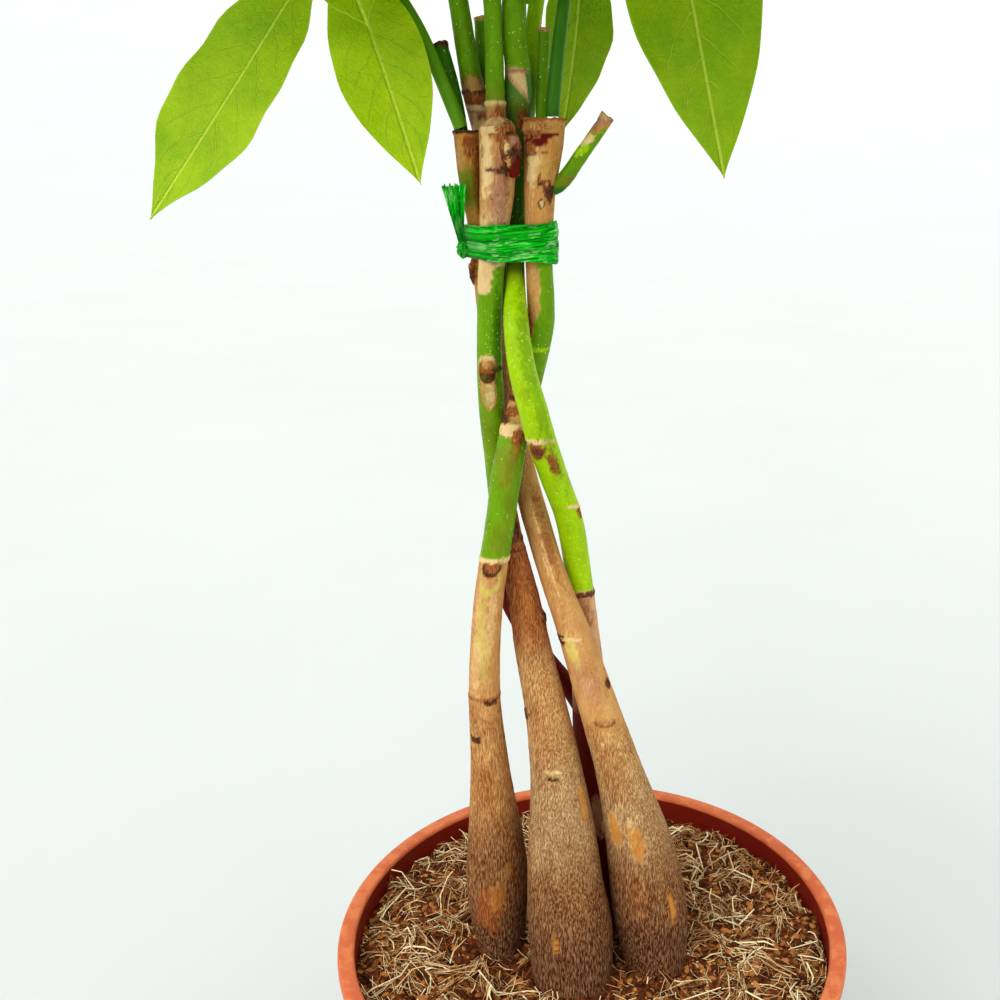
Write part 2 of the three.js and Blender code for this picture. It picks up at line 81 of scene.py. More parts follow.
class Tint(Enum):
    """Colours of bark, some of them painted shade, with how rugged each is from 0 to 1."""

    # painted shade: the stems darkened where they meet the soil
    SOIL_LINE_SHADE = ("#6E2E18", 1.0)
    FOOT = ("#985A28", 1.0)
    GREY = ("#D2AE7E", 1.0)
    BARK = ("#E2B274", 0.9)
    WARM = ("#DEA868", 0.75)
    RUST = ("#B46A34", 0.7)
    TAN = ("#D9A96C", 0.35)
    CREAM = ("#E8CC96", 0.15)
    ORANGE = ("#D29A50", 0.3)
    PINK = ("#C8967A", 0.45)
    OLIVE = ("#7E8A1E", 0.15)
    GREEN = ("#72A20A", 0.0)
    DEEP = ("#427A12", 0.0)
    TEAL = ("#5A8A3C", 0.0)
    LIME = ("#A6D00A", 0.0)
    YELLOW = ("#D6C06C", 0.15)
    SCAR = ("#5E3420", 0.6)
    PURPLE = ("#7C4436", 0.6)
    # a dark colour of scars, also used as painted shade on lengths of stem that stand in shadow
    # behind the others
    MAROON_SCAR_AND_SHADE = ("#761C14", 0.4)
    CUT = ("#DCB286", 0.3)

    def linear(self) -> np.ndarray:
        """The colour in linear light."""
        return np.array(to_linear(self.value[0]))

    def rugged(self) -> float:
        """How rugged the bark is."""
        return self.value[1]


class Slot(Enum):
    """Material slots."""

    POT = "pot"
    SOIL = "soil"
    BARK = "bark"
    GREEN_BARK = "green_bark"
    LEAF = "leaf"
    RIBBON = "ribbon"


def to_linear(code: str) -> tuple[float, float, float]:
    """Turns a colour code into linear light.

    Args:
        code: Hexadecimal colour with a leading hash.

    Returns:
        Red, green and blue from 0 to 1.
    """
    parts = [int(code[k : k + 2], 16) / 255 for k in (1, 3, 5)]
    return tuple(p / 12.92 if p <= 0.04045 else ((p + 0.055) / 1.055) ** 2.4 for p in parts)


def place(height: float, x: float, y: float) -> Vector:
    """The point at a height above the rim, in millimetres."""
    return Vector((x, y, POT_HEIGHT + height))


def speckle(points: np.ndarray, scale: float, shift: float = 0.0) -> np.ndarray:
    """Smooth noise at points.

    Args:
        points: Points in millimetres, one a row.
        scale: Waves per millimetre.
        shift: Moves the pattern.

    Returns:
        One value from about -1 to 1 for each point.
    """
    offset = Vector([shift * step for step in NOISE_STEP])
    return np.array([noise.noise(Vector(p) * scale + offset) for p in points])


def ease(low: float, high: float, value: np.ndarray) -> np.ndarray:
    """A soft step from 0 at low to 1 at high."""
    share = np.clip((value - low) / (high - low), 0, 1)
    return share * share * (3 - 2 * share)


def rounded(rows: np.ndarray, steps: list[int]) -> np.ndarray:
    """Reads a smooth curve through rows of numbers.

    Args:
        rows: One row of numbers for each station.
        steps: How many readings are made from each station to the next.

    Returns:
        The readings, one a row, with the last station at the end.
    """
    readings = []
    last = len(rows) - 1
    for k, count in enumerate(steps):
        before, here = rows[max(k - 1, 0)], rows[k]
        after, beyond = rows[k + 1], rows[min(k + 2, last)]
        for f in np.arange(count) / count:
            bend = 2 * before - 5 * here + 4 * after - beyond
            twist = 3 * here - before - 3 * after + beyond
            readings.append(0.5 * (2 * here + (after - before) * f + bend * f * f + twist * f**3))
    readings.append(rows[last])
    return np.array(readings)


@dataclass
class Draft:
    """A mesh in the making, in millimetres, with values at its points."""

    points: list[np.ndarray] = field(default_factory=list)
    faces: Faces = field(default_factory=list)
    finishes: list[int] = field(default_factory=list)
    values: dict[str, list[np.ndarray]] = field(default_factory=dict)
    count: int = 0

    def add(self, points: np.ndarray, faces: Faces, finish: int = 0, **values: np.ndarray) -> None:
        """Adds a shell.

        Args:
            points: Its points, one a row.
            faces: Its faces, as numbers of its own points.
            finish: Which of the object's materials it has.
            values: Values at its points, by name.
        """
        self.points.append(np.asarray(points, float))
        self.faces.extend(tuple(n + self.count for n in face) for face in faces)
        self.finishes.extend([finish] * len(faces))
        for name, value in values.items():
            self.values.setdefault(name, []).append(np.asarray(value, float))
        self.count += len(points)

    def build(self, name: str, materials: list[Material], sharp: float = 50.0) -> Object:
        """Makes the object.

        Args:
            name: The object's name.
            materials: Its materials, in the order of the finishes.
            sharp: Angle in degrees over which an edge stays sharp.

        Returns:
            The object, linked to the scene.
        """
        mesh = bpy.data.meshes.new(name)
        mesh.from_pydata((np.vstack(self.points) * MM).tolist(), [], self.faces)
        mesh.polygons.foreach_set("use_smooth", [True] * len(mesh.polygons))
        mesh.polygons.foreach_set("material_index", self.finishes)
        corners = np.zeros(len(mesh.loops), np.int32)
        mesh.loops.foreach_get("vertex_index", corners)
        for label, parts in self.values.items():
            data = np.concatenate(parts)
            if data.ndim == 1:
                layer = mesh.attributes.new(label, "FLOAT", "POINT")
                layer.data.foreach_set("value", data)
            elif data.shape[1] == 2:
                layer = mesh.uv_layers.new(name=label)
                layer.data.foreach_set("uv", data[corners].ravel())
            else:
                layer = mesh.attributes.new(label, "FLOAT_COLOR", "POINT")
                opaque = np.column_stack([data, np.ones(len(data))])
                layer.data.foreach_set("color", opaque.ravel())
        mesh.validate()
        mesh.set_sharp_from_angle(angle=math.radians(sharp))
        for material in materials:
            mesh.materials.append(material)
        return link(name, mesh)


def grid_faces(rows: int, columns: int, closed: bool = False, flip: bool = False) -> Faces:
    """Faces between the points of a grid.

    Args:
        rows: Rows of points.
        columns: Points in a row.
        closed: Whether the last column meets the first.
        flip: Whether the faces are turned over.

    Returns:
        Faces with four corners each.
    """
    faces = []
    for i in range(rows - 1):
        low, high = i * columns, (i + 1) * columns
        for j in range(columns if closed else columns - 1):
            n = (j + 1) % columns
            face = (low + j, low + n, high + n, high + j)
            faces.append(face[::-1] if flip else face)
    return faces


def tube_faces(rows: int, sides: int) -> Faces:
    """Faces round a tube of rings and over both its ends."""
    last = (rows - 1) * sides
    ends = [tuple(range(sides))[::-1], tuple(range(last, last + sides))]
    return grid_faces(rows, sides, closed=True) + ends


def sheet_faces(rows: int, columns: int, flip: bool = False) -> Faces:
    """Faces of a thin closed sheet, whose back points follow its front ones.

    Args:
        rows: Rows of points.
        columns: Points in a row.
        flip: Whether the faces are turned over.

    Returns:
        Faces of the front, the back and the edge between them.
    """
    count = rows * columns
    faces = grid_faces(rows, columns, flip=flip)
    faces += [tuple(n + count for n in face[::-1]) for face in faces]
    edge = list(range(columns)) + [i * columns + columns - 1 for i in range(1, rows)]
    edge += [(rows - 1) * columns + j for j in range(columns - 2, -1, -1)]
    edge += [i * columns for i in range(rows - 2, 0, -1)]
    for here, after in zip(edge, edge[1:] + edge[:1]):
        first, second = (here, after) if flip else (after, here)
        faces.append((first, second, second + count, first + count))
    return faces


def full_turn(count: int) -> np.ndarray:
    """Even angles round a circle."""
    return 2 * np.pi * np.arange(count) / count


def unit_rows(rows: np.ndarray) -> np.ndarray:
    """Rows scaled to a length of one."""
    return rows / np.linalg.norm(rows, axis=1)[:, None]


def lathe(rows: list[tuple[float, float]], sides: int) -> np.ndarray:
    """The points of a turned profile of height and radius, ring by ring."""
    turn = full_turn(sides)
    return np.array([(r * np.cos(a), r * np.sin(a), h) for h, r in rows for a in turn])


def read_path(stations: list[Station], spacing: float, least: int) -> tuple[np.ndarray, np.ndarray]:
    """Reads a smooth path through stations.

    Args:
        stations: The stations.
        spacing: Distance between rings in millimetres.
        least: Fewest steps from one station to the next.

    Returns:
        Centres of the rings, and their radii.
    """
    rows = np.array(stations, float)
    spans = np.linalg.norm(np.diff(rows[:, :3], axis=0), axis=1)
    read = rounded(rows, [max(least, math.ceil(span / spacing)) for span in spans])
    return np.column_stack([read[:, 1], read[:, 2], read[:, 0] + POT_HEIGHT]), read[:, 3]


def at_height(stations: list[Station], height: float) -> Point:
    """The x, y and radius of a path at a height."""
    rows = np.array(stations, float)
    return tuple(float(np.interp(height, rows[:, 0], rows[:, k])) for k in (1, 2, 3))


def tube_points(
    centres: np.ndarray, radii: np.ndarray, side: np.ndarray, across: np.ndarray, sides: int
) -> tuple[np.ndarray, np.ndarray]:
    """Places rings round a path.

    Args:
        centres: Centre of each ring.
        radii: Radius of each ring.
        side: One direction that spans each ring.
        across: The other direction.
        sides: Points in a ring.

    Returns:
        The points, and the way outwards at each.
    """
    turn = full_turn(sides)[None, :, None]
    out = side[:, None] * np.cos(turn) + across[:, None] * np.sin(turn)
    points = centres[:, None] + out * radii[:, None, None]
    return points.reshape(-1, 3), out.reshape(-1, 3)


def ball(subdivisions: int, radius: float) -> tuple[np.ndarray, Faces]:
    """The points and faces of a ball of triangles."""
    bpy.ops.mesh.primitive_ico_sphere_add(subdivisions=subdivisions, radius=radius)
    made = bpy.context.object
    points = np.array([v.co for v in made.data.vertices])
    faces = [tuple(p.vertices) for p in made.data.polygons]
    bpy.data.objects.remove(made)
    return points, faces


def link(name: str, data: ID) -> Object:
    """A new object in the scene."""
    made = bpy.data.objects.new(name, data)
    bpy.context.scene.collection.objects.link(made)
    return made


def plain_mesh(owner: Object) -> Mesh:
    """The mesh that an object's modifiers make, as a mesh of its own."""
    bpy.context.view_layer.update()
    graph = bpy.context.evaluated_depsgraph_get()
    return bpy.data.meshes.new_from_object(owner.evaluated_get(graph))


class Board:
    """A node tree that is being wired."""

    def __init__(self, tree: NodeTree) -> None:
        """Keeps the tree."""
        self.tree = tree

    def feed(self, socket: NodeSocket, value: object) -> None:
        """Links a socket or a node to a socket, or sets its value or colour code."""
        if isinstance(value, Node):
            value = value.outputs[0]
        if isinstance(value, NodeSocket):
            self.tree.links.new(value, socket)
        elif isinstance(value, str) and value.startswith("#"):
            socket.default_value = (*to_linear(value), 1.0)
        else:
            socket.default_value = value

    def node(self, kind: str, inputs: dict | None = None, **settings: object) -> Node:
        """Adds a node.

        Args:
            kind: Blender's name for the node.
            inputs: What its sockets get, by name or number.
            settings: Its properties.

        Returns:
            The node.
        """
        made = self.tree.nodes.new(kind)
        for name, value in settings.items():
            setattr(made, name, value)
        for key, value in (inputs or {}).items():
            self.feed(made.inputs[key], value)
        return made

    def math(self, operation: str, *numbers: object, clamp: bool = False) -> NodeSocket:
        """The result of a sum on numbers or sockets."""
        inputs = dict(enumerate(numbers))
        return self.node("ShaderNodeMath", inputs, operation=operation, use_clamp=clamp).outputs[0]

    def mix(self, share: object, first: object, second: object, blend: str = "MIX") -> NodeSocket:
        """The mix of two colours."""
        inputs = {0: share, 6: first, 7: second}
        settings = {"data_type": "RGBA", "blend_type": blend, "clamp_factor": True}
        return self.node("ShaderNodeMix", inputs, **settings).outputs[2]

    def times(self, first: object, second: object) -> NodeSocket:
        """The product of two numbers or sockets."""
        return self.math("MULTIPLY", first, second)

    def stain(self, share: object, base: object, tone: object) -> NodeSocket:
        """A colour that is darkened by another where the share says so."""
        return self.mix(share, base, self.mix(1.0, base, tone, "MULTIPLY"))

    def vector(self, operation: str, *inputs: object) -> Node:
        """The result of a sum on vectors."""
        return self.node("ShaderNodeVectorMath", dict(enumerate(inputs)), operation=operation)

    def between(
        self, value: object, low: float, high: float, start: float = 0.0, end: float = 1.0
    ) -> NodeSocket:
        """A value from low to high, read as start to end."""
        inputs = {"Value": value, "From Min": low, "From Max": high, "To Min": start, "To Max": end}
        return self.node("ShaderNodeMapRange", inputs, interpolation_type="SMOOTHSTEP").outputs[0]

    def value(self, name: str, output: str = "Fac") -> NodeSocket:
        """What a mesh keeps at its points under a name."""
        return self.node("ShaderNodeAttribute", attribute_name=name).outputs[output]

    def place(self, scale: tuple[float, float, float] = (1, 1, 1)) -> NodeSocket:
        """The place on the object, stretched."""
        here = self.node("ShaderNodeTexCoord").outputs["Object"]
        return self.node("ShaderNodeMapping", {"Vector": here, "Scale": scale}).outputs[0]

    def noise(
        self, vector: object, scale: object, detail: object = 3, rough: float = 0.5
    ) -> NodeSocket:
        """A noise from 0 to 1."""
        inputs = {"Vector": vector, "Scale": scale, "Detail": detail, "Roughness": rough}
        return self.node("ShaderNodeTexNoise", inputs).outputs[0]


def shader_group(
    name: str, floats: dict[str, float], outputs: tuple[str, ...]
) -> tuple[NodeTree, Board, NodeOutputs]:
    """Starts a shader node group that reads a place and some numbers.

    Args:
        name: The group's name.
        floats: Starting value of each number input, by name.
        outputs: Names of its number outputs.

    Returns:
        The group, the board to wire it on and what comes in.
    """
    tree = bpy.data.node_groups.new(name, "ShaderNodeTree")
    tree.interface.new_socket("Vector", in_out="INPUT", socket_type="NodeSocketVector")
    for label, value in floats.items():
        socket = tree.interface.new_socket(label, in_out="INPUT", socket_type="NodeSocketFloat")
        socket.default_value = value
    for label in outputs:
        tree.interface.new_socket(label, in_out="OUTPUT", socket_type="NodeSocketFloat")
    board = Board(tree)
    return tree, board, board.node("NodeGroupInput").outputs


def make_mottle() -> NodeTree:
    """Makes the group for uneven tone: a cloudy mask and a fine grain for bumps."""
    floats = {"Scale": 200.0, "Contrast": 0.2, "Grain": 2000.0, "Detail": 5.0}
    tree, board, given = shader_group("Mottle", floats, ("Mask", "Height"))
    cloud = board.noise(given["Vector"], given["Scale"], given["Detail"], rough=0.6)
    grain = board.noise(given["Vector"], given["Grain"], rough=0.6)
    low = board.math("SUBTRACT", 0.5, given["Contrast"])
    high = board.math("ADD", 0.5, given["Contrast"])
    mask = board.node("ShaderNodeMapRange", {"Value": cloud, "From Min": low, "From Max": high})
    board.node("NodeGroupOutput", {"Mask": mask, "Height": grain})
    return tree


def make_fissures() -> NodeTree:
    """Makes the group for fine long cracks: dark lines in a mask and their relief."""
    floats = {"Scale": 700.0, "Width": 0.06}
    tree, board, given = shader_group("Fissures", floats, ("Mask", "Height"))
    sway = board.noise(given["Vector"], given["Scale"], detail=4, rough=0.65)
    middle = board.math("ABSOLUTE", board.math("SUBTRACT", sway, 0.5))
    inputs = {"Value": middle, "From Min": 0.0, "From Max": given["Width"]}
    line = board.node("ShaderNodeMapRange", inputs)
    mask = board.math("SUBTRACT", 1.0, line, clamp=True)
    height = board.times(board.math("MINIMUM", middle, CRACK_HALF), CRACK_STEEP)
    board.node("NodeGroupOutput", {"Mask": mask, "Height": height})
    return tree


@dataclass(frozen=True)
class Effects:
    """The shader node groups that more than one material uses."""

    mottle: NodeTree
    fissures: NodeTree


class Canvas(Board):
    """A material in the making."""

    def __init__(self, name: str, effects: Effects) -> None:
        """Starts the material and keeps the effects that it may use."""
        self.material = bpy.data.materials.new(name)
        self.material.use_nodes = True
        super().__init__(self.material.node_tree)
        self.inputs = self.tree.nodes["Principled BSDF"].inputs
        self.effects = effects

    def effect(self, tree: NodeTree, **inputs: object) -> tuple[NodeSocket, NodeSocket]:
        """Places a node group with its own values, and gives its mask and its height."""
        outputs = self.node("ShaderNodeGroup", inputs, node_tree=tree).outputs
        return outputs["Mask"], outputs["Height"]

    def mottle(
        self, vector: object, scale: float, contrast: float, grain: float, detail: float = 5
    ) -> tuple[NodeSocket, NodeSocket]:
        """Places the group for uneven tone, and gives its mask and its height."""
        numbers = {"Scale": scale, "Contrast": contrast, "Grain": grain, "Detail": detail}
        return self.effect(self.effects.mottle, Vector=vector, **numbers)

    def fissures(self, vector: object, scale: float, width: float) -> tuple[NodeSocket, NodeSocket]:
        """Places the group for fine long cracks, and gives its mask and its height."""
        return self.effect(self.effects.fissures, Vector=vector, Scale=scale, Width=width)

    def relief(self, height: object, strength: float, distance: float) -> None:
        """Feeds a height to the normal, with its depth in millimetres."""
        inputs = {"Height": height, "Strength": strength, "Distance": distance * MM}
        self.feed(self.inputs["Normal"], self.node("ShaderNodeBump", inputs))

    def finish(self, base: NodeSocket, rough: NodeSocket | None = None) -> Material:
        """Feeds the colour and the roughness, and gives the material."""
        self.feed(self.inputs["Base Color"], base)
        if rough:
            self.feed(self.inputs["Roughness"], rough)
        return self.material


@dataclass(frozen=True)
class Skin:
    """A finish that a principled shader shows, with the values that every finish has."""

    name: str
    rough: float = 0.5
    specular: float = 0.5

    def start(self, effects: Effects) -> Canvas:
        """Starts the material with its plain values."""
        canvas = Canvas(self.name, effects)
        canvas.inputs["Roughness"].default_value = self.rough
        canvas.inputs["Specular IOR Level"].default_value = self.specular
        return canvas


@dataclass(frozen=True)
class BarkSkin(Skin):
    """Bark: tint from the stem's own paint, darkened in its cracks."""

    crack: str = "#54301A"
    shade: str = "#C0885A"
    line: str = "#94683F"
    ridge: str = "#FADCA4"

    def make(self, effects: Effects) -> Material:
        """Makes the material."""
        canvas = self.start(effects)
        rugged, tint = canvas.value("Rugged"), canvas.value("Tint", "Color")
        along = canvas.place((1, 1, 0.13))
        cloud, swell = canvas.mottle(canvas.place((1, 1, 0.5)), 260, 0.16, 3000)
        grain, _ = canvas.mottle(along, 3300, 0.12, 2600, 1)
        lines, cracks = canvas.fissures(along, 1300, 0.03)
        flakes, _ = canvas.fissures(canvas.place((1, 1, 0.4)), 120, 0.005)
        shade = canvas.times(cloud, canvas.between(rugged, 0, 1, 0.3, 0.6))
        base = canvas.stain(shade, tint, self.shade)
        ridge = canvas.math("SUBTRACT", 1.0, grain)
        ridge = canvas.times(ridge, canvas.between(rugged, 0.4, 1, 0, 0.3))
        base = canvas.mix(ridge, base, self.ridge)
        streak = canvas.times(grain, canvas.between(rugged, 0, 1, 0.12, 0.5))
        base = canvas.stain(streak, base, self.line)
        depth = canvas.times(lines, canvas.between(rugged, 0.1, 1, 0, 0.6))
        papery = canvas.between(rugged, 0.45, 0.7, 0.55, 0)
        papery = canvas.times(canvas.between(rugged, 0.1, 0.22), papery)
        depth = canvas.math("MAXIMUM", depth, canvas.times(flakes, papery))
        relief = canvas.times(canvas.math("SUBTRACT", cracks, grain), rugged)
        canvas.relief(canvas.math("ADD", relief, canvas.times(swell, 0.2)), 0.8, 0.3)
        rough = canvas.between(rugged, 0, 0.6, 0.36, 0.85)
        return canvas.finish(canvas.mix(depth, base, self.crack), rough)


@dataclass(frozen=True)
class BladeSkin(Skin):
    """Upper and lower face of a leaflet, with its rib, side veins, pale margin and a darkening by
    Tone that is partly painted shade.
    """

    light: str = "#B2CC08"
    deep: str = "#8CB204"
    vein: str = "#C8DC50"
    under: str = "#9BB84C"
    shadow: tuple[float, float, float, float] = (0.3, 0.5, 0.3, 1)

    def make(self, effects: Effects) -> Material:
        """Makes the material."""
        canvas = self.start(effects)
        fan = canvas.node("ShaderNodeUVMap", uv_map="Fan")
        real = canvas.node("ShaderNodeUVMap", uv_map="Real")
        across, run = canvas.node("ShaderNodeSeparateXYZ", {0: fan}).outputs[:2]
        real = canvas.node("ShaderNodeSeparateXYZ", {0: real})
        side = canvas.math("SUBTRACT", across, 0.5)
        out = canvas.times(canvas.math("ABSOLUTE", side), 2.0)
        away = canvas.math("ABSOLUTE", canvas.math("SUBTRACT", real, 0.5))
        rib = canvas.between(away, 0.002, 0.008, 1.0, 0.0)
        lean = canvas.times(canvas.math("POWER", out, VEIN_CURVE), VEIN_SWEEP)
        step = canvas.times(canvas.math("GREATER_THAN", side, 0.0), 0.5)
        sway = canvas.times(canvas.noise(fan, 7, 1), 0.35)
        run = canvas.times(canvas.math("SUBTRACT", run, lean), VEIN_PAIRS)
        phase = canvas.math("FRACT", canvas.math("ADD", canvas.math("ADD", run, step), sway))
        gap = canvas.math("ABSOLUTE", canvas.math("SUBTRACT", phase, 0.5))
        faded = canvas.between(out, 0.55, 0.95, 0.75, 0.0)
        veins = canvas.times(canvas.between(gap, 0.012, 0.04, 1.0, 0.0), faded)
        net, ripple = canvas.fissures(canvas.place(), 330, 0.03)
        cloud, swell = canvas.mottle(canvas.place(), 70, 0.2, 1800)
        base = canvas.mix(cloud, self.light, self.deep)
        # Tone darkens the green towards the shadow colour: partly tone that differs from leaf to
        # leaf, partly painted shade on leaves that face away from the light.
        base = canvas.stain(canvas.value("Tone"), base, self.shadow)
        margin = canvas.between(out, 0.965, 1.0, 0.0, 0.35)
        for mask, share in ((net, 0.14), (veins, 0.5), (rib, 0.6), (margin, 1.0)):
            base = canvas.mix(canvas.times(mask, share), base, self.vein)
        under = canvas.value("Under")
        base = canvas.mix(canvas.times(under, 0.6), base, self.under)
        dips = canvas.math("ADD", canvas.times(rib, -0.8), canvas.times(veins, -0.6))
        quilt = canvas.times(canvas.math("ADD", ripple, swell), 0.25)
        canvas.relief(canvas.math("ADD", dips, quilt), 0.9, 0.55)
        return canvas.finish(base, canvas.between(under, 0, 1, self.rough, 0.7))


@dataclass(frozen=True)
class StalkSkin(Skin):
    """Leaf stalk: smooth green, lighter and duller where Tone says so."""

    fresh: str = "#7CAC14"
    dark: str = "#3A7208"

    def make(self, effects: Effects) -> Material:
        """Makes the material."""
        canvas = self.start(effects)
        cloud, swell = canvas.mottle(canvas.place((1, 1, 0.3)), 260, 0.25, 2500)
        share = canvas.math("ADD", canvas.times(cloud, 0.4), canvas.value("Tone"), clamp=True)
        canvas.relief(swell, 0.4, 0.1)
        return canvas.finish(canvas.mix(share, self.fresh, self.dark))


@dataclass(frozen=True)
class PotSkin(Skin):
    """Terracotta-coloured plastic with a soft sheen, scuffs and dust, a painted highlight on the
    top of the rim and painted shade on the inner wall.
    """

    clay: str = "#B84F27"
    # lighter scuffed plastic, also a painted highlight on the top of the rim
    worn_and_lit: str = "#D27C4E"
    # painted shade on the inner wall
    inside: str = "#7C2012"

    def make(self, effects: Effects) -> Material:
        """Makes the material."""
        canvas = self.start(effects)
        cloud, _ = canvas.mottle(canvas.place(), 35, 0.25, 1400)
        scuff, dust = canvas.mottle(canvas.place((1, 1, 6)), 160, 0.12, 3000)
        base = canvas.mix(canvas.times(cloud, 0.35), self.clay, self.worn_and_lit)
        # scuffs and a painted highlight on the top of the rim
        wear = canvas.times(canvas.value("Edge"), canvas.between(scuff, 0.2, 0.9, 0.25, 0.9))
        base = canvas.mix(wear, base, self.worn_and_lit)
        canvas.relief(dust, 0.25, 0.12)
        # painted shade over the inner wall
        base = canvas.mix(canvas.value("Inner"), base, self.inside)
        return canvas.finish(base, canvas.between(scuff, 0, 1, 0.34, 0.55))


@dataclass(frozen=True)
class SoilSkin(Skin):
    """Coir: dark and light crumbs."""

    dark: str = "#220F07"
    light: str = "#8E4E2C"

    def make(self, effects: Effects) -> Material:
        """Makes the material."""
        canvas = self.start(effects)
        crumbs, height = canvas.mottle(canvas.place(), 480, 0.16, 1300)
        canvas.relief(height, 1.0, 1.2)
        return canvas.finish(canvas.mix(crumbs, self.dark, self.light))


@dataclass(frozen=True)
class FibreSkin(Skin):
    """Plant fibres whose shade runs from dark to light."""

    dark: str = "#442210"
    middle: str = "#C48648"
    light: str = "#FFF0C4"
    spot: tuple[float, float, float, float] = (0.5, 0.42, 0.35, 1)

    def make(self, effects: Effects) -> Material:
        """Makes the material."""
        canvas = self.start(effects)
        shade = canvas.value("Shade")
        grain, _ = canvas.mottle(canvas.place(), 600, 0.3, 2500)
        base = canvas.mix(canvas.between(shade, 0.0, 0.5), self.dark, self.middle)
        base = canvas.mix(canvas.between(shade, 0.45, 0.95), base, self.light)
        return canvas.finish(canvas.stain(canvas.times(grain, 0.35), base, self.spot))


@dataclass(frozen=True)
class RibbonSkin(Skin):
    """Shiny plastic ribbon with long crinkles, painted shade on its pleats and in its creases, and
    painted glints.
    """

    green: str = "#10EC20"
    # painted shade on the darker side of the pleats
    shade: str = "#048C1C"
    # painted highlight: light glints streaked into the colour
    painted_glint: str = "#C4FFB2"
    # painted shade in the creases
    painted_crease_shade: str = "#025018"

    def make(self, effects: Effects) -> Material:
        """Makes the material."""
        canvas = self.start(effects)
        flat = canvas.node("ShaderNodeUVMap", uv_map="Run")
        run = canvas.node("ShaderNodeMapping", {"Vector": flat, "Scale": (5.0, 14.0, 1.0)})
        wide = canvas.node("ShaderNodeMapping", {"Vector": flat, "Scale": (9.0, 3.0, 1.0)})
        pleat, swell = canvas.mottle(run, 1, 0.1, 2, 2)
        # patches where the painted glints gather, as on facets that face the light
        patch, _ = canvas.mottle(wide, 1, 0.06, 2, 2)
        line, ridge = canvas.fissures(run, 0.6, 0.05)
        fold, _ = canvas.fissures(run, 0.5, 0.02)
        # painted shade across the pleats and in the creases
        base = canvas.mix(pleat, self.shade, self.green)
        base = canvas.mix(canvas.times(fold, 0.7), base, self.painted_crease_shade)
        # painted glints: light streaks in patches
        painted_glint_share = canvas.times(line, canvas.between(patch, 0.3, 1, 0, 0.7))
        canvas.relief(canvas.math("ADD", swell, canvas.times(ridge, 0.6)), 1.0, 0.7)
        return canvas.finish(canvas.mix(painted_glint_share, base, self.painted_glint))


@dataclass(frozen=True)
class PlainSkin(Skin):
    """A pale finish with a faint mottle, for specks and the floor."""

    tone: str = "#C8CCCA"
    other: str = "#CCD0CE"
    scale: float = 3.0

    def make(self, effects: Effects) -> Material:
        """Makes the material."""
        canvas = self.start(effects)
        cloud, _ = canvas.mottle(canvas.place(), self.scale, 0.3, 400)
        return canvas.finish(canvas.mix(cloud, self.tone, self.other))


@dataclass
class Finishes:
    """Every material of the plant, made once."""

    bark: Material
    blade: Material
    stalk: Material
    pot: Material
    soil: Material
    fibre: Material
    ribbon: Material
    speck: Material
    floor: Material

    @staticmethod
    def make() -> "Finishes":
        """Makes the node groups and the materials."""
        effects = Effects(make_mottle(), make_fissures())
        cork = {"tone": "#B4C864", "other": "#DCE6A0", "scale": 900.0}
        skins = {
            "bark": BarkSkin("bark", specular=0.14),
            "blade": BladeSkin("leaf_blade", rough=0.42, specular=0.2),
            "stalk": StalkSkin("leaf_stalk", rough=0.4, specular=0.25),
            "pot": PotSkin("pot_plastic", specular=0.3),
            "soil": SoilSkin("coir", rough=0.95, specular=0.1),
            "fibre": FibreSkin("coir_fibre", rough=0.8, specular=0.2),
            "ribbon": RibbonSkin("ribbon_film", rough=0.35, specular=0.2),
            "speck": PlainSkin("pale_cork", rough=0.8, **cork),
            "floor": PlainSkin("floor_paper", rough=0.9, specular=0.1),
        }
        return Finishes(**{name: skin.make(effects) for name, skin in skins.items()})


